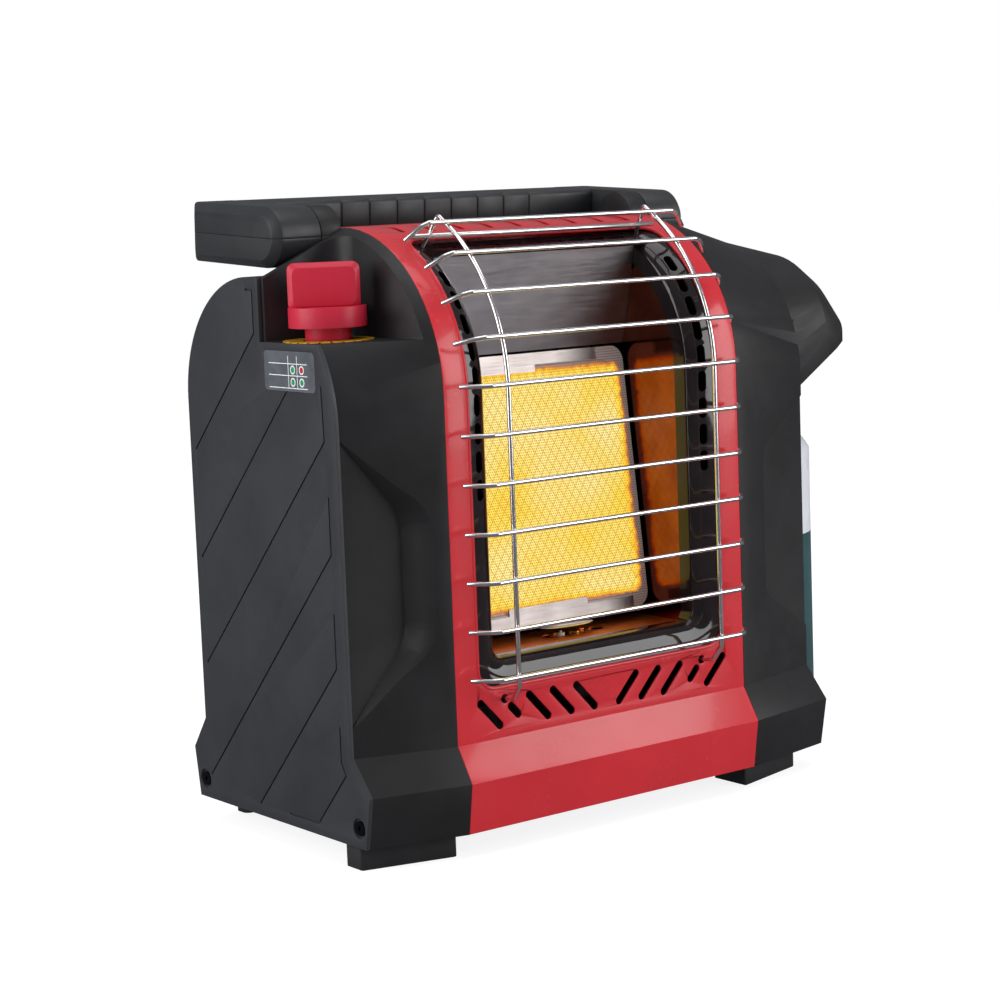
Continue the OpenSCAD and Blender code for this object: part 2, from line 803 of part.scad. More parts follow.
module manifold_pipe() {
  d = 7;
  color(copper) placed() rod([[swing_x, bottle_y + 29, swing_z], [swing_x, pipe_y, swing_z],
    [alcove_x + 10, pipe_y, pipe_z], [knob_x, pipe_y, pipe_z], [knob_x, knob_y + 18, pipe_z]], d);
}

// Where the jet holder's outer end lies in the case
jet_y = burner_y + (burner_d + 26) * cos(burner_lean) + burner_h * 0.38 * sin(burner_lean);
jet_z = burner_z - (burner_d + 26) * sin(burner_lean) + burner_h * 0.38 * cos(burner_lean);

module burner_pipe() {
  d = 6;
  color(copper) placed() rod([[knob_x + 8, knob_y - 8, pocket_z - 44],
    [knob_x + 8, knob_y - 8, jet_z + 24], [knob_x + 8, jet_y, jet_z], [-92, jet_y, jet_z]], d);
}

module pilot_pipe() {
  z = pilot_z - 8;
  d = 4;
  color(copper) placed() rod([[knob_x - 9, knob_y - 10, pocket_z - 44], [knob_x - 9, knob_y - 10, z],
    [10, pilot_y, z], [10, pilot_y, pilot_z]], d);
}

module tip_switch() {
  color(black_plastic) placed() along_z(skirt_z + 1.5, skirt_z + 32)
    rounded2d(-150, 40, -126, 62, 2);
}

// ---- Guard ----

// One crossbar in the frame of the hood's centre, at the front
module crossbar() {
  reach = guard_half + wire_d / 2;
  bar([-reach, -guard_r, 0], [reach, -guard_r, 0], wire_d);
  for (s = [-1, 1])
    bar([s * guard_half, -guard_r, 0], [s * guard_end_half, guard_drop - guard_r, 0],
      wire_d * 0.96);
}

// The uprights' last bends: the end of the curve, the highest point and the foot behind the hood's edge
upright_r = guard_r - wire_d - 0.02;
upright_angle = bar_top / guard_r * 180 / PI + bars_curve * bar_angle - 1;
upright_top = [upright_half, hood_axis_y - upright_r * cos(upright_angle),
  hood_axis_z + upright_r * sin(upright_angle)];
upright_apex = upright_top + 12 * [0, sin(upright_angle), cos(upright_angle)];
upright_foot = [upright_half + 3, opening_back_y - 1.4, hood_top_z - 12];

// The rear bar lies against the front of the uprights' last stretch
rear_slope = upright_foot - upright_apex;
rear_side = [0, rear_slope.z, -rear_slope.y] / norm([rear_slope.y, rear_slope.z]);
rear_bar = upright_apex + 0.57 * rear_slope + (wire_d + 0.02) * rear_side;

module guard_crossbars() {
  color(chrome) placed() {
    for (i = [0 : bars_straight - 1])
      translate([0, hood_axis_y, hood_axis_z + bar_top - i * bar_pitch]) crossbar();
    for (i = [1 : bars_curve])
      up_hood(bar_top / guard_r * 180 / PI + i * bar_angle) crossbar();
    bar([-guard_half - 2, rear_bar.y, rear_bar.z], [guard_half - 5, rear_bar.y, rear_bar.z], wire_d);
  }
}

module guard_uprights() {
  y = hood_axis_y - upright_r;
  z = opening_z + 3;
  color(chrome) placed() both_sides() {
    rod([[hook_x, front_y + 4, hook_z], [hook_x + 0.5, front_y - 9, z - 8.5],
      [upright_half, y, z], [upright_half, y, hood_axis_z]], wire_d);
    for (joint = [[upright_half, y, hood_axis_z], upright_top])
      translate(joint) sphere(d = wire_d * bend_swell, $fn = 32);
    round_hood(upright_angle) translate([upright_r, upright_half]) circle(d = wire_d, $fn = 32);
    rod([upright_top, upright_apex, upright_foot], wire_d);
  }
}

// ---- Housings ----

module pocket2d(grow) {
  x0 = left_x - 20;
  x1 = pocket_x + grow;
  y1 = pocket_back_y + grow;
  r = pocket_r + grow;
  translate([x0, front_y - 30]) square([x1 - x0, y1 - r - front_y + 30]);
  translate([x0, y1 - r - eps]) square([x1 - r - x0, r + eps]);
  translate([x1 - r, y1 - r]) intersection() {
    circle(r, $fn = 64);
    square(r);
  }
}

module left_housing() {
  x_in = -panel_half;
  color(black_plastic) placed() difference() {
    union() {
      front_body(x_in - eps, housing_x, 0);
      along_x(housing_x, x_in) back2d(ridge_y - eps, 0, kick_top_z);
      plinth_body(x_in - eps, housing_x + eps, 0);
    }
    difference() {
      union() {
        front_body(x_in + 3, housing_x - 3, wall);
        along_x(housing_x - 3, x_in + 3) back2d(ridge_y - 2 * wall, wall, kick_top_z);
        plinth_body(x_in + 3, housing_x - 3, wall);
      }
      along_z(pocket_z - wall, far) pocket2d(wall);
      along_y(-far, scoop_y + wall) offset(delta = wall + 7.5) left_scoop2d();
    }
    along_z(pocket_z, far) pocket2d(0);
    left_scoop();
    translate([knob_x, knob_y, pocket_z - 10]) cylinder(h = 20, r = knob_neck_r + 0.5, $fn = 64);
  }
}

// The side panel's grooves, as lists of points in Y and Z
grooves = [
  [[78, 221], [9.5, 289], [9.5, 313], [16, 313]],
  [[78, 158], [-21, 258]],
  [[78, 96], [-56, 233], [-55, 262]],
  [[80, 29], [-57.5, 172], [-57.5, 203]],
  [[27, 21], [-57.5, 110], [-57.5, 140]],
  [[-4, 20.8], [-33, 20.8], [-62, 52], [-58, 59], [-58, 78]]];

module groove2d(points, width) {
  for (i = [0 : len(points) - 2]) {
    v = points[i + 1] - points[i];
    translate((points[i] + points[i + 1]) / 2) rotate(atan2(v.y, v.x))
      slot2d(norm(v) + width, width);
  }
}

side_screw_places = [[side_front_y - 5.4, 25], [back_y + 3.2, 25]];

// The rating plate's outline in Y and Z, drawn in by a margin
module plate2d(margin) {
  rounded2d(margin - 50, 258.4 + margin, 0.4 - margin, 280.6 - margin, 3 - margin);
}

module left_side_panel() {
  color(grey_plastic) placed() difference() {
    along_x(left_x, housing_x) side2d();
    along_x(left_x - 1, housing_x + 1) translate([-far, pocket_z])
      square([far + pocket_back_y + 2.6, far]);
    for (g = grooves) along_x(left_x - 1, left_x + 0.9) groove2d(g, 1.1);
    for (p = side_screw_places) {
      translate([left_x - 1, p.x, p.y]) rotate([0, 90, 0])
        cylinder(h = 1 + side_screw_seat, r = 5.7, $fn = 32);
      translate([left_x - 1, p.x, p.y]) rotate([0, 90, 0]) cylinder(h = 6, r = 2.2, $fn = 32);
    }
    along_x(left_x - 1, left_x + 0.5) plate2d(0);
  }
}

module rating_plate() {
  color(enamel) placed() along_x(left_x, left_x + 0.5) plate2d(0.2);
}

module side_screws() {
  color(steel) placed() for (p = side_screw_places) {
    translate([left_x + side_screw_seat, p.x, p.y]) rotate([0, 90, 0]) {
      cylinder(h = side_t - side_screw_seat, r = 2.1, $fn = 24);
      translate([0, 0, -1]) difference() {
        cylinder(h = 1, r = 4.2, $fn = 24);
        translate([0, 0, -0.4]) cylinder(h = 1, r = 1.4, $fn = 24);
      }
    }
  }
}

// A slice of the shoulder beyond the right edge. The front and the back are each a height and a radius.
module shoulder_slice(x, y0, y1, z0, front, back, t) {
  along_x(x, x + eps) {
    translate([y0 + t, z0]) square([y1 - y0 - 2 * t, 1]);
    intersection() {
      translate([y0 + front[1], front[0] - front[1]]) circle(front[1] - t, $fn = 64);
      translate([y0, z0]) square([front[1], far]);
    }
    intersection() {
      translate([y1 - back[1], back[0] - back[1]]) circle(back[1] - t, $fn = 64);
      translate([y1 - back[1], z0]) square([far, far]);
    }
  }
}

shoulder_back_y = 62;
shoulder_z = 236;
right_top_z = side_top_z + 5;

module shoulder_body(t) {
  y0 = side_front_y;
  y1 = shoulder_back_y;
  top = right_top_z;
  sink = t > 0 ? 1 : 0;
  hull() {
    shoulder_slice(right_x - 0.5, y0, y1 + 8, shoulder_z - sink, [top, side_front_r], [top - 5, 66], t);
    shoulder_slice(right_x + 26, y0 + 2.5, y1 - 2, shoulder_z + 15, [top - 10, 52], [top - 13, 52], t);
    shoulder_slice(right_x + 37, y0 + 5, y1 - 8, shoulder_z + 20 - sink, [top - 20, 44], [top - 22, 40], t);
    shoulder_slice(hump_x - t - eps, y0 + 7, y1 - 14, shoulder_z + 24 - 3 * sink, [top - 47, 12],
      [top - 47, 12], t / 3);
  }
}

module right_housing() {
  x_in = panel_half;
  color(black_plastic) placed() difference() {
    union() {
      front_body(x_in + eps, right_x - 2 * eps, 0, right_top_z);
      along_x(x_in, right_x) back2d(ridge_y - eps, 0, kick_top_z);
      plinth_body(x_in + 2 * eps, right_x - 2 * eps, 0);
      shoulder_body(0);
    }
    difference() {
      union() {
        front_body(x_in - 3, right_x + 0.5, wall, right_top_z);
        along_x(x_in - 2, right_x - wall) back2d(ridge_y - 2 * wall, wall, kick_top_z);
        plinth_body(x_in - 4, right_x - wall - 2 * eps, wall);
        shoulder_body(wall);
      }
      along_y(-far, scoop_y + wall) offset(delta = wall) right_scoop2d();
      along_z(plinth_top_z - wall, plinth_top_z + eps) translate([alcove_x + 3, side_front_y - 6])
        square([right_x - alcove_x, 60 - side_front_y]);
      along_z(well_z - wall, plinth_top_z) translate([bottle_x, bottle_y])
        circle(bottle_r + 6.5, $fn = 96);
    }
    along_y(-far, scoop_y) right_scoop2d();
    along_z(plinth_top_z, shoulder_z + 40) translate([right_x - 2 * wall, -61])
      square([3 * wall, 116]);
    along_z(plinth_top_z + eps, kick_top_z + 1) translate([alcove_x + 3, -61])
      square([right_x, 116]);
    along_z(well_z, shoulder_z) translate([bottle_x, bottle_y]) circle(bottle_r + 4, $fn = 96);
    along_z(shoulder_z - 5, shoulder_z + 24) translate([right_x - 2 * wall, -61])
      square([44, 116]);
    along_z(shoulder_z + 30, swing_z + 20) translate([right_x - 2 * wall, bottle_y - 24])
      square([3 * wall, 48]);
  }
}

module alcove_wall() {
  color(grey_plastic) placed() difference() {
    along_x(alcove_x, alcove_x + 2) intersection() {
      union() {
        hood2d(wall + 3);
        translate([hood_axis_y, kick_top_z]) square([53 - hood_axis_y, 238]);
      }
      translate([front_y + 7, skirt_z + 1.5]) square([46 - front_y, 287]);
    }
    translate([alcove_x - 5, pipe_y, pipe_z]) rotate([0, 90, 0]) cylinder(h = 12, r = 4.5, $fn = 32);
  }
}

module back_cover() {
  rows = 9;
  color(black_plastic) placed() difference() {
    along_x(-panel_half + 0.2, panel_half - 0.2) difference() {
      back2d(back_y - side_back_r, 0);
      back2d(back_y - side_back_r - 1, sheet_t, skirt_z - 1);
    }
    both_sides() for (i = [0 : rows - 1])
      translate([50, back_y + 5, 110 + i * 14]) rotate([90, 0, 0]) linear_extrude(12)
        slot2d(70, 5);
    both_sides() for (z = [80, 240])
      translate([panel_half - 10, back_y - 5, z]) rotate([-90, 0, 0]) cylinder(h = 10, r = 2, $fn = 24);
  }
}

module back_screws() {
  color(steel) placed() both_sides() for (z = [80, 240])
    translate([panel_half - 10, back_y, z]) rotate([-90, 0, 0]) {
      difference() {
        cylinder(h = 1.8, r = 4, $fn = 24);
        translate([0, 0, 1]) cylinder(h = 2, r = 1.5, $fn = 24);
      }
      translate([0, 0, -6]) cylinder(h = 6, r = 1.9, $fn = 24);
    }
}

module base_plate() {
  color(steel) placed() along_z(skirt_z, skirt_z + 1.4) {
    translate([-panel_half, front_y - 4]) square([panel_w, 88 - front_y + 4]);
    translate([housing_x, -60]) square([right_x - wall - housing_x - 1, 148]);
  }
}

// ---- Feet ----

module front_feet() {
  color(rubber) placed() both_sides() along_z(skirt_z - foot_top, skirt_z)
    polygon([[108, front_y + 2.5], [163, side_front_y - 1.4], [163, front_y + 2.5 + foot_len + 2],
      [108, front_y + 2.5 + foot_len + 2]]);
}

module rear_feet() {
  color(rubber) placed() both_sides() along_z(skirt_z - foot_top, skirt_z)
    rounded2d(104, back_y - 2, 142, back_y + 11, 4);
}

// ---- Handle ----

module pivot_bosses() {
  color(black_plastic) placed() both_sides() difference() {
    along_x(panel_half + 0.3, arm_in_x - loose_gap) difference() {
      union() {
        translate([pivot_y, pivot_z]) circle(handle_r, $fn = 64);
        translate([ridge_y + 0.3, side_top_z - 12])
          square([pivot_y + handle_r - ridge_y - 0.3, pivot_z - side_top_z + 12]);
      }
      back2d(ridge_y - 5, 0);
    }
    translate([panel_half - 1, pivot_y, pivot_z]) rotate([0, 90, 0])
      cylinder(h = arm_in_x - panel_half + 2, r = pivot_pin_r, $fn = 48);
  }
}

module pivot_pins() {
  color(steel) placed() both_sides() translate([panel_half + 1.5, pivot_y, pivot_z])
    rotate([0, 90, 0]) cylinder(h = arm_out_x - 3 - panel_half - 1.5, r = pivot_pin_r, $fn = 48);
}

// The handle's own frame: its origin is on the pivot's axis and it lies level
module handle_frame() {
  translate([0, pivot_y, pivot_z]) rotate([handle_tilt, 0, 0]) children();
}

// The handle's filled outline, drawn in by t
module handle_body(t) {
  front = grip_front_y - pivot_y + t;
  back = grip_back_y - pivot_y - t;
  r = handle_r - t;
  c = handle_chamfer;
  both_sides() along_x(arm_in_x + t, arm_out_x - t) {
    circle(r, $fn = 64);
    translate([0, -r]) square([front + 6, 2 * r]);
  }
  along_z(-r, r) polygon([[-arm_out_x + t, front - 0.1], [-arm_out_x + t, back - c],
    [-arm_out_x + t + c, back], [arm_out_x - t - c, back], [arm_out_x - t, back - c],
    [arm_out_x - t, front - 0.1]]);
}

module pivot_barrel(x0, x1, r) {
  both_sides() translate([x0, 0, 0]) rotate([0, 90, 0]) cylinder(h = x1 - x0, r = r, $fn = 48);
}

module grip_grooves() {
  front = grip_front_y - pivot_y;
  for (i = [-4 : 3]) translate([i * 20 + 9.2, front - 0.6, -handle_r - 1])
    cube([1.6, 1.9, 2 * handle_r + 2]);
}

handle_screw_places = [[-136, 62], [-68, 57], [68, 57], [136, 62]];

module handle_upper() {
  color(black_plastic) placed() handle_frame() difference() {
    intersection() {
      handle_body(0);
      along_z(0.1, far) square(far, center = true);
    }
    handle_body(handle_wall);
    pivot_barrel(arm_in_x - 1, arm_out_x - 1.2, barrel_r + 0.3);
    grip_grooves();
  }
}

module handle_lower() {
  color(black_plastic) placed() handle_frame() difference() {
    union() {
      difference() {
        intersection() {
          handle_body(0);
          along_z(-far, 0) square(far, center = true);
        }
        handle_body(handle_wall);
      }
      pivot_barrel(arm_in_x + 0.5, arm_out_x - 1.5, barrel_r);
      for (p = handle_screw_places) translate([p.x, p.y, -handle_r + 1])
        cylinder(h = 2 * handle_r - 1 - handle_wall - 0.4, r = 4, $fn = 32);
    }
    pivot_barrel(arm_in_x - 1, arm_out_x - 2, pivot_pin_r + run_gap);
    for (p = handle_screw_places) translate([p.x, p.y, -handle_r - 1]) {
      cylinder(h = 5, r = 3.2, $fn = 32);
      cylinder(h = 20, r = 1.5, $fn = 32);
    }
    grip_grooves();
  }
}

module handle_screws() {
  color(steel) placed() handle_frame() for (p = handle_screw_places)
    translate([p.x, p.y, -handle_r + 2]) {
      cylinder(h = 2, r = 3, $fn = 24);
      cylinder(h = 16, r = 1.4, $fn = 24);
    }
}

// ---- Regulator and bottle ----

swing_y0 = bottle_y - 20;
swing_y1 = bottle_y + 20;

module regulator_bracket() {
  ear = 3;
  color(steel) placed() difference() {
    union() {
      along_x(alcove_x + 2, alcove_x + 4) translate([swing_y0 - 8, swing_z - 20])
        square([swing_y1 - swing_y0 + 16, 34]);
      for (y = [swing_y0 - ear - 0.4, swing_y1 + 0.4]) along_y(y, y + ear) {
        translate([swing_x, swing_z]) circle(9, $fn = 48);
        translate([alcove_x + 2.5, swing_z - 9]) square([swing_x - alcove_x - 2.5, 18]);
      }
    }
    translate([swing_x, swing_y0 - 10, swing_z]) rotate([-90, 0, 0])
      cylinder(h = 60, r = swing_pin_r, $fn = 48);
  }
}

module regulator_pin() {
  color(steel) placed() translate([swing_x, swing_y0 - 6, swing_z]) rotate([-90, 0, 0])
    cylinder(h = bottle_y + 29 - swing_y0 + 6, r = swing_pin_r, $fn = 48);
}

module regulator() {
  color(steel) placed() difference() {
    union() {
      translate([swing_x, swing_y0, swing_z]) rotate([-90, 0, 0])
        cylinder(h = swing_y1 - swing_y0, r = 9, $fn = 48);
      translate([bottle_x, bottle_y, regulator_z]) cylinder(h = 22, r = 20, $fn = 64);
      translate([bottle_x, bottle_y, collar_z]) cylinder(h = regulator_z - collar_z + 1, r = 17, $fn = 64);
      translate([swing_x, bottle_y - 12, swing_z - 9]) cube([bottle_x - swing_x, 24, 14]);
    }
    translate([swing_x, swing_y0 - 1, swing_z]) rotate([-90, 0, 0])
      cylinder(h = swing_y1 - swing_y0 + 2, r = swing_pin_r + run_gap, $fn = 48);
    translate([bottle_x, bottle_y, collar_z - 1])
      cylinder(h = regulator_z - collar_z + 1, r = neck_r + loose_gap, $fn = 64);
  }
}

module gas_bottle() {
  r = bottle_r;
  h = bottle_wall_h;
  shoulder = bottle_dome_h;
  color(bottle_green) placed() translate([bottle_x, bottle_y, bottle_z]) difference() {
    rotate_extrude($fn = 96) difference() {
      union() {
        square([r, h]);
        translate([0, h]) intersection() {
          translate([0, shoulder - r * 1.15]) circle(r * 1.15, $fn = 96);
          square([r, shoulder]);
        }
        square([neck_r + 5, h + shoulder + 3]);
      }
      translate([0, -1]) square([r - 8, 5]);
    }
    translate([0, 0, 6]) cylinder(h = h - 2, r = r - 1.2, $fn = 96);
    translate([0, 0, h + shoulder - 8]) cylinder(h = 20, r = neck_r - 3, $fn = 64);
  }
}

module bottle_valve() {
  z = bottle_z + bottle_wall_h + bottle_dome_h;
  color(brass) placed() translate([bottle_x, bottle_y, 0]) difference() {
    union() {
      translate([0, 0, z - 7]) cylinder(h = 11, r = neck_r - 3, $fn = 64);
      translate([0, 0, z + 3]) cylinder(h = neck_h - 3, r = neck_r, $fn = 64);
    }
    translate([0, 0, z + neck_h - 6]) cylinder(h = 8, r = 5, $fn = 48);
  }
}

// ---- Drawn sub-parts ----

front_panel();
inner_frame();
reflector_upper();
reflector_left();
reflector_right();
reflector_pan();
burner_box();
ceramic_tile();
tile_rim();
tile_clips();
venturi();
jet_holder();
pilot_burner();
pilot_shield();
thermocouple();
spark_electrode();
gas_valve();
igniter();
valve_spindle();
knob_spring();
control_knob();
dial_ring();
manifold_pipe();
burner_pipe();
pilot_pipe();
tip_switch();
heat_shield();
guard_crossbars();
guard_uprights();
left_housing();
left_side_panel();
rating_plate();
right_housing();
alcove_wall();
back_cover();
base_plate();
front_feet();
rear_feet();
pivot_bosses();
pivot_pins();
handle_upper();
handle_lower();
handle_screws();
regulator_bracket();
regulator_pin();
regulator();
gas_bottle();
bottle_valve();
side_screws();
back_screws();
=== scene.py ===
"""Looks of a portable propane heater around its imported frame.

The heater has a red coated sheet-metal hood, an enamelled frame round a glowing burner tile, a wire
guard, moulded plastic housings with a corner knob, a folding handle and a gas bottle. The frame gives
every piece's place and motion. This script gives finishes, small trim, light and the camera.
Drawing sizes are millimetres in the maker's drawing frame, and at() turns them to the row's metres.
"""

from __future__ import annotations

import logging
import math
from dataclasses import dataclass, field
from enum import Enum
from typing import Iterable, Mapping, Sequence

import bmesh
import bpy
from mathutils import Matrix, Vector


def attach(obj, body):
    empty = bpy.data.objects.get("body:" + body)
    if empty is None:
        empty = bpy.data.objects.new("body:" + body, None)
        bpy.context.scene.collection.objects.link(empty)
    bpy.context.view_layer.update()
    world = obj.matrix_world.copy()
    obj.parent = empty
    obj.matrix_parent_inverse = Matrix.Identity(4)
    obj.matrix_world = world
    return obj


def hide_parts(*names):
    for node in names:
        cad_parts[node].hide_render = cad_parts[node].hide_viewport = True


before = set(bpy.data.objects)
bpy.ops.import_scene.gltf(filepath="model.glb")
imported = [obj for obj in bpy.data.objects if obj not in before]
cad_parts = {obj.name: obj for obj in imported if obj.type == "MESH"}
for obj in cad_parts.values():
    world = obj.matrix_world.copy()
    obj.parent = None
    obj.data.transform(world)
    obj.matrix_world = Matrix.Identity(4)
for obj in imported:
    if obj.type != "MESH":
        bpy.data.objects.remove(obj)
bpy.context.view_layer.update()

LOG = logging.getLogger("heater")
MM = 0.001
# The drawing frame's origin in the row's frame, in millimetres
DRAWING_SHIFT = Vector((-27.8, 1.359, 0.0))

Socket = bpy.types.NodeSocket
Tree = bpy.types.NodeTree
Colour = tuple[float, float, float, float]


class Axis(Enum):
    """Direction that a drawn or rolled grain runs in."""

    X = 0
    Y = 1
    Z = 2


def at(x: float, y: float, z: float) -> Vector:
    """Turns a place in the drawing, in millimetres, to the row's frame in metres."""
    return (Vector((x, y, z)) + DRAWING_SHIFT) * MM


def linear(code: str) -> Colour:
    """Turns an sRGB hex colour to linear light.

    Args:
        code: The colour as "#RRGGBB".

    Returns:
        Red, green, blue and alpha in linear light.
    """
    values = [int(code[i : i + 2], 16) / 255 for i in (1, 3, 5)]
    bright = [v / 12.92 if v <= 0.04045 else ((v + 0.055) / 1.055) ** 2.4 for v in values]
    return (bright[0], bright[1], bright[2], 1.0)


def add_node(
    tree: Tree,
    kind: str,
    settings: Mapping[str | int, object] | None = None,
    links: Mapping[str | int, Socket] | None = None,
) -> bpy.types.Node:
    """Adds one shader node with its settings and links.

    Args:
        tree: The node tree that takes the node.
        kind: Blender's type name without its "ShaderNode" start.
        settings: Values by attribute name, or by input name or number.
        links: Output sockets by the input name or number that each one feeds.

    Returns:
        The new node.
    """
    node = tree.nodes.new("ShaderNode" + kind)
    for key, value in (settings or {}).items():
        if isinstance(key, str) and key in node.bl_rna.properties:
            setattr(node, key, value)
        else:
            node.inputs[key].default_value = value
    for key, source in (links or {}).items():
        tree.links.new(source, node.inputs[key])
    return node


@dataclass(frozen=True)
class Finish:
    """A named surface finish. Subclasses give the shader.

    Attributes:
        name: The material's name, for what the real one is and how it was made.
    """

    name: str

    def shade(self, tree: Tree, place: Socket) -> Socket:
        """Builds the finish's shader over object coordinates and returns its output socket."""
        raise NotImplementedError

    def material(self) -> bpy.types.Material:
        """Makes the material once and returns it."""
        made = bpy.data.materials.get(self.name)
        if made is None:
            made = bpy.data.materials.new(self.name)
            made.use_nodes = True
            tree = made.node_tree
            tree.nodes.clear()
            shader = self.shade(tree, add_node(tree, "TexCoord").outputs["Object"])
            add_node(tree, "OutputMaterial", links={"Surface": shader})
        return made


def cloud_blend(tree: Tree, place: Socket, size_mm: float, first: str, second: str) -> Socket:
    """Blends two close colours in soft clouds.

    Args:
        tree: The material's node tree.
        place: Object coordinates in metres.
        size_mm: Width of a cloud.
        first: sRGB hex of one colour.
        second: sRGB hex of the other colour.

    Returns:
        The blended colour's socket.
    """
    settings = {"Scale": 1 / (size_mm * MM), "Detail": 4.0}
    noise = add_node(tree, "TexNoise", settings, {"Vector": place})
    ramp = add_node(tree, "ValToRGB", links={"Fac": noise.outputs["Fac"]})
    for element, position, code in zip(ramp.color_ramp.elements, (0.35, 0.65), (first, second)):
        element.position = position
        element.color = linear(code)
    return ramp.outputs["Color"]


def raised_grain(
    tree: Tree, place: Socket, size_mm: float, height_mm: float, detail: float = 2.0
) -> Socket:
    """Gives the normal of a fine raised grain.

    Args:
        tree: The material's node tree.
        place: Object coordinates in metres.
        size_mm: Distance from grain to grain.
        height_mm: Height of the grain.
        detail: Octaves of the grain's noise.

    Returns:
        The normal's socket.
    """
    settings = {"Scale": 1 / (size_mm * MM), "Detail": detail}
    noise = add_node(tree, "TexNoise", settings, {"Vector": place})
    settings = {"Distance": height_mm * MM, "Strength": 1.0}
    return add_node(tree, "Bump", settings, {"Height": noise.outputs["Fac"]}).outputs["Normal"]


def uneven_gloss(tree: Tree, place: Socket, size_mm: float, low: float, high: float) -> Socket:
    """Varies roughness between two values in soft clouds.

    Args:
        tree: The material's node tree.
        place: Object coordinates in metres.
        size_mm: Width of a cloud.
        low: Roughness of the glossiest spots.
        high: Roughness of the dullest spots.

    Returns:
        The roughness socket.
    """
    settings = {"Scale": 1 / (size_mm * MM), "Detail": 3.0}
    noise = add_node(tree, "TexNoise", settings, {"Vector": place})
    settings = {"From Min": 0.3, "From Max": 0.7, "To Min": low, "To Max": high}
    return add_node(tree, "MapRange", settings, {"Value": noise.outputs["Fac"]}).outputs["Result"]


def surface(
    tree: Tree,
    place: Socket,
    base: Socket,
    gloss: tuple[float, float, float],
    grain: tuple[float, ...],
    settings: Mapping[str, float],
) -> Socket:
    """Builds a shader with a base colour, uneven gloss and a raised grain.

    Args:
        tree: The material's node tree.
        place: Coordinates in metres, drawn out where the surface is.
        base: The base colour's socket.
        gloss: Width of a patch of gloss, and the lowest and highest roughness.
        grain: Distance and height of the grain, and its octaves where they aren't the usual.
        settings: Values of the shader's own sockets.

    Returns:
        The shader's output socket.
    """
    links = {
        "Base Color": base,
        "Roughness": uneven_gloss(tree, place, *gloss),
        "Normal": raised_grain(tree, place, *grain),
    }
    return add_node(tree, "BsdfPrincipled", settings, links).outputs["BSDF"]


@dataclass(frozen=True)
class MouldedPlastic(Finish):
    """Injection-moulded ABS from a spark-eroded tool: dull sheen with a fine leathery grit."""

    colour: str = "#1D1C1D"
    second: str = "#222123"
    gloss: float = 0.44
    grain_mm: float = 0.7
    grain_height_mm: float = 0.03
    sheen: float = 0.32
    cloud_mm: float = 45.0
    patch_mm: float = 12.0

    def shade(self, tree: Tree, place: Socket) -> Socket:
        """Builds the plastic: cloudy tone, grit and a slightly uneven sheen."""
        tone = cloud_blend(tree, place, self.cloud_mm, self.colour, self.second)
        gloss = (self.patch_mm, self.gloss - 0.05, self.gloss + 0.06)
        grain = (self.grain_mm, self.grain_height_mm)
        return surface(tree, place, tone, gloss, grain, {"Specular IOR Level": self.sheen})


@dataclass(frozen=True)
class CoatedSheet(Finish):
    """Gloss powder coat on steel sheet: deep colour, a clear sheen and faint orange peel."""

    colour: str = "#C62B33"
    second: str = "#BF2730"
    cloud_mm: float = 60.0
    gloss: tuple[float, float, float] = (25.0, 0.2, 0.29)
    peel: tuple[float, float] = (2.6, 0.006)

    def shade(self, tree: Tree, place: Socket) -> Socket:
        """Builds the coat over its orange-peel surface."""
        tone = cloud_blend(tree, place, self.cloud_mm, self.colour, self.second)
        coat = {"IOR": 1.4, "Coat Weight": 0.22, "Coat Roughness": 0.06}
        return surface(tree, place, tone, self.gloss, self.peel, coat)


@dataclass(frozen=True)
class VitreousEnamel(Finish):
    """Fired glass enamel on pressed steel: near black, mirror bright, with long, low waves."""

    colour: str = "#171214"
    second: str = "#21191B"
    cloud_mm: float = 30.0
    gloss: tuple[float, float, float] = (15.0, 0.05, 0.11)
    waves: tuple[float, float, float] = (16.0, 0.16, 1.0)

    def shade(self, tree: Tree, place: Socket) -> Socket:
        """Builds the enamel and its waves."""
        tone = cloud_blend(tree, place, self.cloud_mm, self.colour, self.second)
        glass = {"Specular IOR Level": 0.4, "Coat Weight": 0.25, "Coat Roughness": 0.03}
        return surface(tree, place, tone, self.gloss, self.waves, glass)


@dataclass(frozen=True)
class DrawnMetal(Finish):
    """Rolled, drawn or turned metal: a tinted mirror drawn out along one direction."""

    colour: str = "#B9B6B4"
    second: str = "#A9A5A2"
    low: float = 0.2
    high: float = 0.34
    grain: Axis = Axis.X
    streak_mm: float = 0.5
    stretch: float = 40.0
    height_mm: float = 0.004
    cloud_mm: float = 20.0

    def shade(self, tree: Tree, place: Socket) -> Socket:
        """Builds the metal with streaks along its working direction."""
        scale = [1.0, 1.0, 1.0]
        scale[self.grain.value] = 1 / self.stretch
        drawn = add_node(tree, "Mapping", {"Scale": tuple(scale)}, {"Vector": place}).outputs["Vector"]
        tone = cloud_blend(tree, place, self.cloud_mm, self.colour, self.second)
        gloss = (self.streak_mm, self.low, self.high)
        return surface(tree, drawn, tone, gloss, (self.streak_mm, self.height_mm), {"Metallic": 1.0})


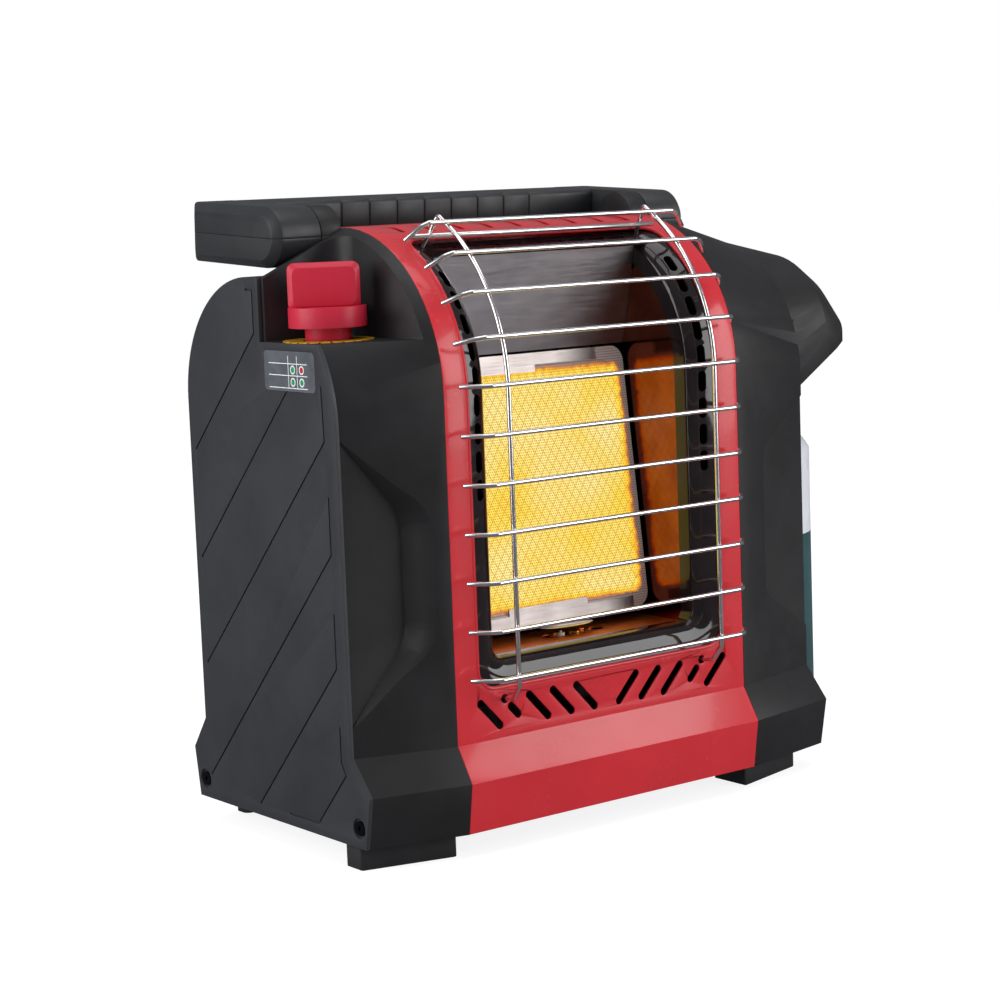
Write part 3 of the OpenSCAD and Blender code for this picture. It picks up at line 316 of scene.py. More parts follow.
@dataclass(frozen=True)
class GlowingTile(Finish):
    """Perforated ceramic tile at red to yellow heat: rows of fire holes in a diamond-scored face.

    Attributes:
        half_w: Half of the tile's width in millimetres.
        height: The tile's height in millimetres along its lean.
        foot: Y and Z of the tile's lower front edge in the drawing.
        lean: How far the tile leans back, in degrees.
        diamond: Width and height of one scored diamond in millimetres.
        hole_mm: Radius of a fire hole, drawn as coarse as it needs to show.
        rims: Width in millimetres of the cooler rim at the sides and at the top and bottom.
        stops: Heat and sRGB hex of each step of the glow, from cold to hottest.
        scored: sRGB hex of the glow in the scored lines.
        pierced: sRGB hex of the glow in the holes.
        ceramic: sRGB hex of the cool ceramic, of its holes and of the glowing body.
    """

    half_w: float = 73.0
    height: float = 157.0
    foot: tuple[float, float] = (-38.5, 111.0)
    lean: float = 6.8
    diamond: tuple[float, float] = (6.0, 9.0)
    hole_mm: float = 0.36
    rims: tuple[float, float] = (2.5, 8.0)
    stops: tuple[tuple[float, str], ...] = (
        (0.0, "#3A1D14"),
        (0.22, "#D8641E"),
        (0.38, "#FFCB3A"),
        (0.62, "#FFE658"),
        (1.0, "#FFF7A8"),
    )
    scored: str = "#E09A34"
    pierced: str = "#CC7A24"
    ceramic: tuple[str, str, str] = ("#C2AFA9", "#3B2421", "#1A0D06")

    def shade(self, tree: Tree, place: Socket) -> Socket:
        """Builds the heat, the scored lines and the holes."""
        angle = math.radians(self.lean)
        foot = {"operation": "SUBTRACT", 1: tuple(at(0.0, *self.foot))}
        local = add_node(tree, "VectorMath", foot, {0: place}).outputs[0]
        face = []
        for way in ((1.0, 0.0, 0.0), (0.0, math.sin(angle), math.cos(angle))):
            settings = {"operation": "DOT_PRODUCT", 1: tuple(Vector(way) / MM)}
            face.append(add_node(tree, "VectorMath", settings, {0: local}).outputs["Value"])
        lines = self._scored_lines(tree, *face)
        holes = self._fire_holes(tree, *face)
        heat = self._heat(tree, place, *face)
        ramp = add_node(tree, "ValToRGB", links={"Fac": heat})
        elements = ramp.color_ramp.elements
        elements[0].color, elements[1].color = linear(self.stops[0][1]), linear(self.stops[-1][1])
        for position, code in self.stops[1:-1]:
            elements.new(position).color = linear(code)
        glow = ramp.outputs["Color"]
        for mask, code in ((lines, self.scored), (holes, self.pierced)):
            settings = {"data_type": "RGBA", 7: linear(code)}
            glow = add_node(tree, "Mix", settings, {0: mask, 6: glow}).outputs[2]
        bare, dark, hot = (linear(code) for code in self.ceramic)
        cool = add_node(tree, "MapRange", {"From Min": 0.3, "From Max": 0.1}, {"Value": heat})
        pale = add_node(tree, "Mix", {"data_type": "RGBA", 6: bare, 7: dark}, {0: holes})
        masks = {0: cool.outputs["Result"], 7: pale.outputs[2]}
        base = add_node(tree, "Mix", {"data_type": "RGBA", 6: hot}, masks)
        power = add_node(tree, "MapRange", {"From Min": 0.08, "From Max": 0.3}, {"Value": heat})
        links = {
            "Base Color": base.outputs[2],
            "Emission Color": glow,
            "Emission Strength": power.outputs["Result"],
        }
        settings = {"Roughness": 0.85, "IOR": 1.45}
        return add_node(tree, "BsdfPrincipled", settings, links).outputs["BSDF"]

    def _scored_lines(self, tree: Tree, across: Socket, along: Socket) -> Socket:
        """Returns the mask of the two families of scored lines."""
        wide = add_node(tree, "Math", {"operation": "DIVIDE", 1: self.diamond[0]}, {0: across})
        tall = add_node(tree, "Math", {"operation": "DIVIDE", 1: self.diamond[1]}, {0: along})
        masks = []
        for sense in ("ADD", "SUBTRACT"):
            sides = {0: wide.outputs[0], 1: tall.outputs[0]}
            slanted = add_node(tree, "Math", {"operation": sense}, sides)
            fold = add_node(tree, "Math", {"operation": "PINGPONG", 1: 0.5}, {0: slanted.outputs[0]})
            settings = {"From Min": 0.08, "From Max": 0.03, "To Max": 0.7}
            mask = add_node(tree, "MapRange", settings, {"Value": fold.outputs[0]})
            masks.append(mask.outputs["Result"])
        return add_node(tree, "Math", {"operation": "MAXIMUM"}, dict(enumerate(masks))).outputs[0]

    def _fire_holes(self, tree: Tree, across: Socket, along: Socket) -> Socket:
        """Returns the mask of the staggered rows of holes."""
        pitch = (self.diamond[0] / 4, self.diamond[1] / 3)
        nearest = []
        for offset in (0.25, 0.75):
            squares = []
            for value, step in ((across, pitch[0]), (along, pitch[1])):
                for settings in (
                    {"operation": "MULTIPLY_ADD", 1: 1 / step, 2: offset},
                    {"operation": "PINGPONG", 1: 0.5},
                    {"operation": "MULTIPLY", 1: step},
                    {"operation": "POWER", 1: 2.0},
                ):
                    value = add_node(tree, "Math", settings, {0: value}).outputs[0]
                squares.append(value)
            total = add_node(tree, "Math", {"operation": "ADD"}, dict(enumerate(squares)))
            root = add_node(tree, "Math", {"operation": "SQRT"}, {0: total.outputs[0]})
            nearest.append(root.outputs[0])
        least = add_node(tree, "Math", {"operation": "MINIMUM"}, dict(enumerate(nearest)))
        settings = {"From Min": self.hole_mm * 1.3, "From Max": self.hole_mm * 0.7}
        return add_node(tree, "MapRange", settings, {"Value": least.outputs[0]}).outputs["Result"]

    def _heat(self, tree: Tree, place: Socket, across: Socket, along: Socket) -> Socket:
        """Returns the heat from 0 at the cool rim to 1 at the hottest spots."""
        cloud, ragged = (
            add_node(tree, "TexNoise", {"Scale": 1 / (size * MM), "Detail": 2.0}, {"Vector": place})
            for size in (38, 4)
        )
        half_h = self.height / 2
        centre = add_node(tree, "Math", {"operation": "SUBTRACT", 1: half_h}, {0: along})
        factors = []
        for source, half in ((across, self.half_w), (centre.outputs[0], half_h)):
            rim = self.rims[len(factors)]
            size = add_node(tree, "Math", {"operation": "ABSOLUTE"}, {0: source})
            uneven = {0: ragged.outputs["Fac"], 2: size.outputs[0]}
            rough = add_node(tree, "Math", {"operation": "MULTIPLY_ADD", 1: 5.0}, uneven)
            settings = {"From Min": half - rim + 3.0, "From Max": half - rim - 4.0}
            fall = add_node(tree, "MapRange", settings, {"Value": rough.outputs[0]})
            factors.append(fall.outputs["Result"])
        settings = {"From Min": 0.3, "From Max": 0.72, "To Min": 0.5, "To Max": 0.95}
        level = add_node(tree, "MapRange", settings, {"Value": cloud.outputs["Fac"]})
        heat = level.outputs["Result"]
        for factor in factors:
            heat = add_node(tree, "Math", {"operation": "MULTIPLY"}, {0: factor, 1: heat}).outputs[0]
        return heat


@dataclass(frozen=True)
class BottlePaint(Finish):
    """Stoved paint on a drawn steel bottle, with a pale paper band between two heights."""

    paint: tuple[str, str] = ("#27474A", "#2C4F50")
    paper: tuple[str, str] = ("#C9CCD2", "#D4D6DA")
    band: tuple[float, float] = (142.0, 206.0)

    def shade(self, tree: Tree, place: Socket) -> Socket:
        """Builds the paint and the band."""
        height = add_node(tree, "SeparateXYZ", links={0: place}).outputs["Z"]
        low, high = self.band
        settings = {"operation": "COMPARE", 1: (low + high) / 2 * MM, 2: (high - low) / 2 * MM}
        colours = {
            0: add_node(tree, "Math", settings, {0: height}).outputs[0],
            6: cloud_blend(tree, place, 30.0, *self.paint),
            7: cloud_blend(tree, place, 18.0, *self.paper),
        }
        tone = add_node(tree, "Mix", {"data_type": "RGBA"}, colours).outputs[2]
        return surface(tree, place, tone, (20.0, 0.26, 0.36), (1.5, 0.008), {"IOR": 1.5})


@dataclass(frozen=True)
class PrintedRing(Finish):
    """Screen-printed ring on plastic: yellow ink with dark ticks round the ring.

    Attributes:
        colour: sRGB hex of the ink.
        worn: sRGB hex of the ink where it is worn.
        dark: sRGB hex of the ticks.
        centre: X and Y of the ring's middle in the drawing.
        ticks: Number of ticks round the ring.
    """

    colour: str = "#D9A514"
    worn: str = "#C08F10"
    dark: str = "#191817"
    centre: tuple[float, float] = (-139.0, -25.0)
    ticks: int = 24

    def shade(self, tree: Tree, place: Socket) -> Socket:
        """Builds the ink and its ticks."""
        middle = {"operation": "SUBTRACT", 1: tuple(at(*self.centre, 0.0))}
        local = add_node(tree, "VectorMath", middle, {0: place}).outputs[0]
        parts = add_node(tree, "SeparateXYZ", links={0: local}).outputs
        angle = add_node(tree, "Math", {"operation": "ARCTAN2"}, {0: parts["Y"], 1: parts["X"]})
        settings = {"operation": "PINGPONG", 1: math.pi / self.ticks}
        fold = add_node(tree, "Math", settings, {0: angle.outputs[0]})
        settings = {"From Min": 0.028, "From Max": 0.018}
        mask = add_node(tree, "MapRange", settings, {"Value": fold.outputs[0]})
        ink = cloud_blend(tree, place, 3.0, self.colour, self.worn)
        settings = {"data_type": "RGBA", 7: linear(self.dark)}
        printed = add_node(tree, "Mix", settings, {0: mask.outputs["Result"], 6: ink})
        links = {"Base Color": printed.outputs[2], "Normal": raised_grain(tree, place, 0.7, 0.02)}
        return add_node(tree, "BsdfPrincipled", {"Roughness": 0.45}, links).outputs["BSDF"]


@dataclass(frozen=True)
class PrintedPlate(Finish):
    """Printed film on the side panel: a dark ground with pale rulings and round colour marks.

    Attributes:
        rows: Heights of the level rulings in the drawing, in millimetres.
        columns: Y of the upright rulings in the drawing, in millimetres.
        middle: Y and height of the ruled field's middle.
        half: Half of the ruled field's width and height.
        ruling_mm: Half of a ruling's width.
        pale: sRGB hex of the rulings.
        marks: Y, height and sRGB hex of each round mark.
        mark_mm: Radius of a mark's pale ring and of the mark itself.
        ring: sRGB hex of the pale ring.
    """

    rows: tuple[float, ...] = (260.4, 267.2, 273.6)
    columns: tuple[float, ...] = (-24.0, -32.6)
    middle: tuple[float, float] = (-23.5, 269.0)
    half: tuple[float, float] = (19.0, 8.9)
    ruling_mm: float = 0.22
    pale: str = "#DADCDD"
    marks: tuple[tuple[float, float, str], ...] = (
        (-28.3, 270.4, "#1D8A55"),
        (-37.0, 270.4, "#B3202E"),
        (-28.3, 263.7, "#1D8A55"),
        (-37.0, 263.7, "#1D8A55"),
    )
    mark_mm: tuple[float, float] = (2.4, 1.7)
    ring: str = "#D3D6D4"

    def shade(self, tree: Tree, place: Socket) -> Socket:
        """Builds the film, its rulings and its marks."""
        parts = add_node(tree, "SeparateXYZ", links={0: place})
        across, height = parts.outputs["Y"], parts.outputs["Z"]
        centre = at(0.0, *self.middle)
        bands = [(across, centre.y, self.half[0]), (height, centre.z, self.half[1])]
        bands += [(height, at(0.0, 0.0, z).z, self.ruling_mm) for z in self.rows]
        bands += [(across, at(0.0, y, 0.0).y, self.ruling_mm) for y in self.columns]
        masks = []
        for source, middle, half in bands:
            settings = {"operation": "COMPARE", 1: middle, 2: half * MM}
            masks.append(add_node(tree, "Math", settings, {0: source}).outputs[0])
        field_mask = add_node(tree, "Math", {"operation": "MULTIPLY"}, {0: masks[0], 1: masks[1]})
        prints = []
        for mask in masks[2:]:
            both = {0: field_mask.outputs[0], 1: mask}
            line = add_node(tree, "Math", {"operation": "MULTIPLY"}, both).outputs[0]
            prints.append((line, self.pale))
        flat = add_node(tree, "CombineXYZ", links={1: across, 2: height}).outputs[0]
        for y, z, code in self.marks:
            spot = at(0.0, y, z)
            settings = {"operation": "DISTANCE", 1: (0.0, spot.y, spot.z)}
            away = add_node(tree, "VectorMath", settings, {0: flat}).outputs["Value"]
            for radius, colour in zip(self.mark_mm, (self.ring, code)):
                settings = {"operation": "LESS_THAN", 1: radius * MM}
                prints.append((add_node(tree, "Math", settings, {0: away}).outputs[0], colour))
        ink = cloud_blend(tree, place, 9.0, "#4A4D52", "#565A5F")
        for mask, code in prints:
            settings = {"data_type": "RGBA", 7: linear(code)}
            ink = add_node(tree, "Mix", settings, {0: mask, 6: ink}).outputs[2]
        film = {"Specular IOR Level": 0.4}
        return surface(tree, place, ink, (6.0, 0.26, 0.4), (2.0, 0.006), film)


# Powder-coated steel of the hood: bright red with a clear sheen
RED_COAT = CoatedSheet("powder_coated_red_steel")
# Fired enamel of the pressed frame: black glass that mirrors the fire
ENAMEL = VitreousEnamel("fired_black_enamel")
# Sides of the fire chamber: bright rolled stainless, tinted bronze by heat
HOT_STEEL = DrawnMetal(
    "heat_tinted_rolled_stainless", "#9A5640", "#86452F", 0.07, 0.15, Axis.Z, 1.2, 12.0
)
# Floor pan of the fire chamber: stainless dulled and browned by heat, which scatters the tile's light;
# its bright orange is partly a painted reflection of the tile's glow
PAN_STEEL_WITH_PAINTED_GLOW = DrawnMetal("pan_steel_heat_tint_and_painted_glow", "#F08A48", "#DE7334", 0.34, 0.5, Axis.X, 2.0, 8.0)
# Deflector over the fire: bright rolled stainless that stays cooler and grey
BRIGHT_STEEL = DrawnMetal("bright_rolled_stainless", "#C9C3C7", "#BCB6BA", 0.3, 0.42, Axis.X, 1.5, 12.0)
# Plate over the pilot: bright polished stainless
MIRROR_PLATE = DrawnMetal("polished_pilot_plate", "#E6E2DE", "#D8D4D0", 0.12, 0.22, Axis.X, 0.8, 10.0)
# Pressed strips over the tile: pale dull stainless
RIM_STEEL = DrawnMetal("pressed_stainless_strip", "#A39B98", "#948B88", 0.28, 0.42)
# Aluminised sheet of the burner box, baffle and floor: grey with rolling streaks
SHEET_STEEL = DrawnMetal("aluminised_rolled_sheet", "#A6A7A8", "#96989A", 0.32, 0.46)
# Plated guard wire: bright chrome, drawn along the wire
CHROME_WIRE = DrawnMetal(
    "chrome_plated_drawn_wire", "#F0EFEE", "#E6E4E3", 0.16, 0.26, Axis.X, 0.6, 30.0
)
# The same wire as the crossbars', drawn upright
UPRIGHT_WIRE = DrawnMetal(
    "chrome_plated_upright_wire", "#F0EFEE", "#E6E4E3", 0.14, 0.24, Axis.Z, 0.6, 30.0
)
# Zinc-plated turned and pressed steel: pale grey, slightly dull
ZINC = DrawnMetal("zinc_plated_steel", "#BFC1C2", "#AEB1B4", 0.26, 0.38, Axis.Z, 0.5, 20.0)
# Black-oxide steel of the side screws: dark with a dull shine
OXIDE = DrawnMetal("black_oxide_steel", "#1B1B1D", "#141416", 0.3, 0.42, Axis.X, 0.4, 10.0)
# Turned brass fittings: warm, with tool marks round the axis
BRASS = DrawnMetal("turned_brass", "#D2AC5E", "#BC9548", 0.2, 0.34, Axis.X, 0.4, 20.0)
# Drawn copper pipe: salmon with brown patches
COPPER = DrawnMetal("drawn_copper_tube", "#C98565", "#A8664A", 0.24, 0.38, Axis.X, 0.5, 20.0)
# Burner tile at working heat
TILE = GlowingTile("glowing_perforated_ceramic")
# Glazed porcelain of the spark electrode: off-white and shiny
PORCELAIN = MouldedPlastic("glazed_porcelain", "#D9D2C2", "#CFC7B6", 0.2, 3.0, 0.004, 0.5)
# Moulded ABS housings: near black with fine grit
BLACK_ABS = MouldedPlastic("moulded_black_abs")
# Moulded ABS of the handle: a shade paler than the housings
HANDLE_ABS = MouldedPlastic("moulded_graphite_abs", "#28292B", "#2D2E30", 0.42, 0.9, 0.02, 0.4)
# Moulded ABS side panel and alcove wall: charcoal with fine grit
GREY_ABS = MouldedPlastic("moulded_charcoal_abs", "#2B2C2F", "#303134", 0.46)
# Moulded crimson knob: smoother tool, a soft sheen
KNOB_ABS = MouldedPlastic("moulded_crimson_abs", "#BC2239", "#B41F35", 0.4, 1.2, 0.008, 0.3)
# Dip-moulded rubber of the feet: flat black
RUBBER = MouldedPlastic("moulded_black_rubber", "#222123", "#29282A", 0.62, 1.0, 0.05)
# Painted gas bottle with its paper band
BOTTLE = BottlePaint("stoved_green_paint_with_band")
# Printed ring under the knob
RING_INK = PrintedRing("printed_yellow_ring")
# Printed plate on the side panel: dark film with pale rulings and a light sheen
PLATE_FILM = PrintedPlate("printed_dark_film")

# Every node of the frame under its finish
FINISHED_NODES: tuple[tuple[Finish, tuple[str, ...]], ...] = (
    (RED_COAT, ("front_panel",)),
    (ENAMEL, ("inner_frame",)),
    (BRIGHT_STEEL, ("reflector_upper",)),
    (HOT_STEEL, ("reflector_left", "reflector_right")),
    (PAN_STEEL_WITH_PAINTED_GLOW, ("reflector_pan",)),
    (SHEET_STEEL, ("burner_box", "venturi", "heat_shield", "base_plate")),
    (TILE, ("ceramic_tile", "tile_rim")),
    (RIM_STEEL, ("tile_clips",)),
    (BRASS, ("jet_holder", "pilot_burner", "gas_valve", "bottle_valve")),
    (ZINC, ("pilot_shield", "valve_spindle", "knob_spring", "pivot_pins", "handle_screws")),
    (ZINC, ("regulator_bracket", "regulator_pin", "regulator", "back_screws")),
    (COPPER, ("thermocouple", "manifold_pipe", "burner_pipe", "pilot_pipe")),
    (PORCELAIN, ("spark_electrode",)),
    (BLACK_ABS, ("igniter", "tip_switch", "left_housing", "right_housing")),
    (BLACK_ABS, ("back_cover", "pivot_bosses")),
    (KNOB_ABS, ("control_knob",)),
    (RING_INK, ("dial_ring",)),
    (CHROME_WIRE, ("guard_crossbars", "guard_uprights")),
    (GREY_ABS, ("left_side_panel", "alcove_wall")),
    (PLATE_FILM, ("rating_plate",)),
    (RUBBER, ("front_feet", "rear_feet")),
    (HANDLE_ABS, ("handle_upper", "handle_lower")),
    (BOTTLE, ("gas_bottle",)),
    (OXIDE, ("side_screws",)),
)

# Radius of the rolled or moulded edges of each carried-over node, in millimetres
EDGE_RADII: dict[str, float] = {
    "front_panel": 0.5,
    "left_housing": 3.0,
    "right_housing": 2.6,
    "left_side_panel": 0.5,
    "back_cover": 0.5,
    "pivot_bosses": 1.2,
    "control_knob": 0.7,
    "front_feet": 1.5,
    "rear_feet": 1.5,
    "gas_valve": 0.8,
    "regulator": 1.0,
    "tip_switch": 1.0,
    "regulator_bracket": 0.4,
}


@dataclass
class Casework:
    """The carried-over nodes: their finishes and softened edges.

    Attributes:
        smooth_degrees: Faces that meet at less than this angle shade as one surface.
        bevel_degrees: Edges sharper than this are rounded.
        weld_mm: Corners closer than this become one.
        bevel_segments: Steps of a rounded edge.
    """

    smooth_degrees: float = 34.0
    bevel_degrees: float = 20.0
    weld_mm: float = 0.004
    bevel_segments: int = 3

    def build(self) -> None:
        """Dresses every node of the frame."""
        finishes = {name: finish for finish, names in FINISHED_NODES for name in names}
        for name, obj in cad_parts.items():
            self._dress(obj, finishes[name], EDGE_RADII.get(name, 0.0))
        LOG.info("casework: %d nodes dressed", len(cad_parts))

    def _dress(self, obj: bpy.types.Object, finish: Finish, radius: float) -> None:
        """Gives one node its finish and soft edges.

        Args:
            obj: The node's object, which stays where it is.
            finish: Its finish.
            radius: Radius of its edges in millimetres, or 0 for sharp ones.
        """
        obj.data.materials.clear()
        obj.data.materials.append(finish.material())
        obj.data.shade_smooth()
        weld = obj.modifiers.new("weld", "WELD")
        weld.merge_threshold = self.weld_mm * MM
        if radius:
            bevel = obj.modifiers.new("soft_edges", "BEVEL")
            bevel.width = radius * MM
            bevel.segments = self.bevel_segments
            bevel.limit_method = "ANGLE"
            bevel.angle_limit = math.radians(self.bevel_degrees)
            bevel.use_clamp_overlap = True
            bevel.harden_normals = False
        split = obj.modifiers.new("crisp_shading", "EDGE_SPLIT")
        split.split_angle = math.radians(self.smooth_degrees)


# Reach past a wire's last point and width there, in wire radii, from the full width to the tip
WIRE_END = ((0.0, 1.0), (0.2, 0.9), (0.45, 0.6))
# Faces of a built piece that meet at more than this many degrees shade apart
CRISP_DEGREES = 40.0


def loft(mesh: bmesh.types.BMesh, rings: Sequence[Sequence[Vector]], closed: bool = False) -> None:
    """Joins rings of points with faces, and caps the two ends unless the run is closed.

    Args:
        mesh: The mesh that takes the faces.
        rings: Rings of the same number of points.
        closed: Whether the last ring joins the first.
    """
    rows = [[mesh.verts.new(point) for point in ring] for ring in rings]
    spans = list(zip(rows, rows[1:]))
    if closed:
        spans.append((rows[-1], rows[0]))
    else:
        mesh.faces.new(rows[0][::-1])
        mesh.faces.new(rows[-1])
    for first, second in spans:
        for i, corner in enumerate(first):
            j = (i + 1) % len(first)
            mesh.faces.new((corner, first[j], second[j], second[i]))


def round_steps(count: int) -> list[float]:
    """Gives the angles of evenly spaced steps once round a circle."""
    return [2 * math.pi * k / count for k in range(count)]


def filleted(points: Sequence[Vector], radius: float, steps: int = 6) -> list[Vector]:
    """Rounds the corners of a path.

    Args:
        points: The path's corners.
        radius: Radius of the bends.
        steps: Points along each bend.

    Returns:
        The path with its bends.
    """
    path = [points[0]]
    for before, corner, after in zip(points, points[1:], points[2:]):
        back, on = (before - corner).normalized(), (after - corner).normalized()
        reach = min(radius / math.tan(back.angle(on) / 2), (before - corner).length * 0.45)
        start, end = corner + back * reach, corner + on * reach
        for i in range(steps + 1):
            t = i / steps
            path.append(start.lerp(corner, t).lerp(corner.lerp(end, t), t))
    path.append(points[-1])
    return path


def wire(mesh: bmesh.types.BMesh, path: Sequence[Vector], radius: float, sides: int = 14) -> None:
    """Sweeps a round wire along a path, with slightly rounded ends.

    Args:
        mesh: The mesh that takes the wire.
        path: Points in metres.
        radius: The wire's radius in metres.
        sides: Faces round the wire.
    """
    rings = []
    last = len(path) - 1
    side = (path[1] - path[0]).orthogonal().normalized()
    for i, point in enumerate(path):
        along = (path[min(i + 1, last)] - path[max(i - 1, 0)]).normalized()
        side = (side - along * side.dot(along)).normalized()
        across = along.cross(side)
        ring = [side * math.cos(a) + across * math.sin(a) for a in round_steps(sides)]
        shapes = [(0.0, 1.0)]
        if i == 0:
            shapes = [(-reach, scale) for reach, scale in reversed(WIRE_END)]
        elif i == last:
            shapes = list(WIRE_END)
        for reach, scale in shapes:
            rings.append([point + along * reach * radius + spoke * scale * radius for spoke in ring])
    loft(mesh, rings)


def place_piece(
    mesh: bmesh.types.BMesh,
    name: str,
    finish: Finish,
    body: str,
    nodes: Sequence[str] = (),
) -> bpy.types.Object:
    """Turns a built mesh to an object that rides one body of the frame.

    Args:
        mesh: The mesh, which this call uses up.
        name: The object's name.
        finish: Its finish.
        body: The body that it rides.
        nodes: CAD nodes that it stands for.

    Returns:
        The new object.
    """
    bmesh.ops.recalc_face_normals(mesh, faces=mesh.faces)
    data = bpy.data.meshes.new(name)
    mesh.to_mesh(data)
    mesh.free()
    data.materials.append(finish.material())
    data.shade_smooth()
    obj = bpy.data.objects.new(name, data)
    bpy.context.scene.collection.objects.link(obj)
    split = obj.modifiers.new("crisp_shading", "EDGE_SPLIT")
    split.split_angle = math.radians(CRISP_DEGREES)
    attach(obj, body)
    if nodes:
        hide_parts(*nodes)
    LOG.info("%s: %d faces", name, len(data.polygons))
    return obj


@dataclass
class Hood:
    """The hood's curve, in the drawing's millimetres.

    Attributes:
        axis: Y and Z of the curve's centre.
        radius: Radius of the painted surface.
    """

    axis: tuple[float, float] = (5.0, 254.5)
    radius: float = 90.0

    def point(self, x: float, way: float, lift: float = 0.0) -> Vector:
        """Finds a place on or off the surface.

        Args:
            x: The drawing's X.
            way: Height up the upright face, carried on round the curve above the centre's height.
            lift: Distance out from the surface.

        Returns:
            The place in the row's metres.
        """
        out = self.outward(way)
        bent = min(way, self.axis[1])
        foot = Vector((x, self.axis[0], bent))
        reach = out * (self.radius + lift)
        return at(*(foot + reach))

    def outward(self, way: float) -> Vector:
        """Gives the surface's outward direction at a way up the hood."""
        angle = max(0.0, way - self.axis[1]) / self.radius
        return Vector((0.0, -math.cos(angle), math.sin(angle)))


@dataclass
class OpeningLip:
    """The rolled edge of the fire opening.

    Attributes:
        half_w: Half of the opening's width.
        low: Height of the lower edge.
        rear_y: Y of the rear edge on the hood.
        corner: Radius of the corners.
        roll: Radius of the rolled edge.
        sunk: How far its centre lies under the painted surface.
        sides: Faces round the rolled edge.
        side_steps: Steps up each side of the opening.
    """

    hood: Hood = field(default_factory=Hood)
    half_w: float = 91.0
    low: float = 90.0
    rear_y: float = -30.0
    corner: float = 12.0
    roll: float = 1.25
    sunk: float = 0.75
    sides: int = 12
    side_steps: int = 40

    def build(self) -> None:
        """Sweeps the rolled edge round the opening."""
        mesh = bmesh.new()
        path = list(self._path())
        rings = []
        for i, (x, way) in enumerate(path):
            before, after = path[i - 1], path[(i + 1) % len(path)]
            out = self.hood.outward(way)
            along = self.hood.point(*after) - self.hood.point(*before)
            side = along.normalized().cross(out)
            middle = self.hood.point(x, way, -self.sunk)
            rings.append(
                [
                    middle + (out * math.cos(a) + side * math.sin(a)) * self.roll * MM
                    for a in round_steps(self.sides)
                ]
            )
        loft(mesh, rings, closed=True)
        place_piece(mesh, "opening_lip", RED_COAT, "chassis")

    def _path(self) -> Iterable[tuple[float, float]]:
        """Gives the outline as X and the way up the hood."""
        angle = math.acos((self.hood.axis[0] - self.rear_y) / self.hood.radius)
        top = self.hood.axis[1] + self.hood.radius * angle
        inner_x, r = self.half_w - self.corner, self.corner
        corners = ((inner_x, self.low + r, -90), (inner_x, top - r, 0), (-inner_x, top - r, 90))
        for x, way, start in corners + ((-inner_x, self.low + r, 180),):
            for step in range(7):
                turn = math.radians(start + 15 * step)
                yield x + r * math.cos(turn), way + r * math.sin(turn)
            if start == 0 or start == 180:
                continue
            for step in range(1, self.side_steps):
                rising = start == -90
                share = step / self.side_steps if rising else 1 - step / self.side_steps
                edge = self.half_w if rising else -self.half_w
                yield edge, self.low + r + (top - self.low - 2 * r) * share


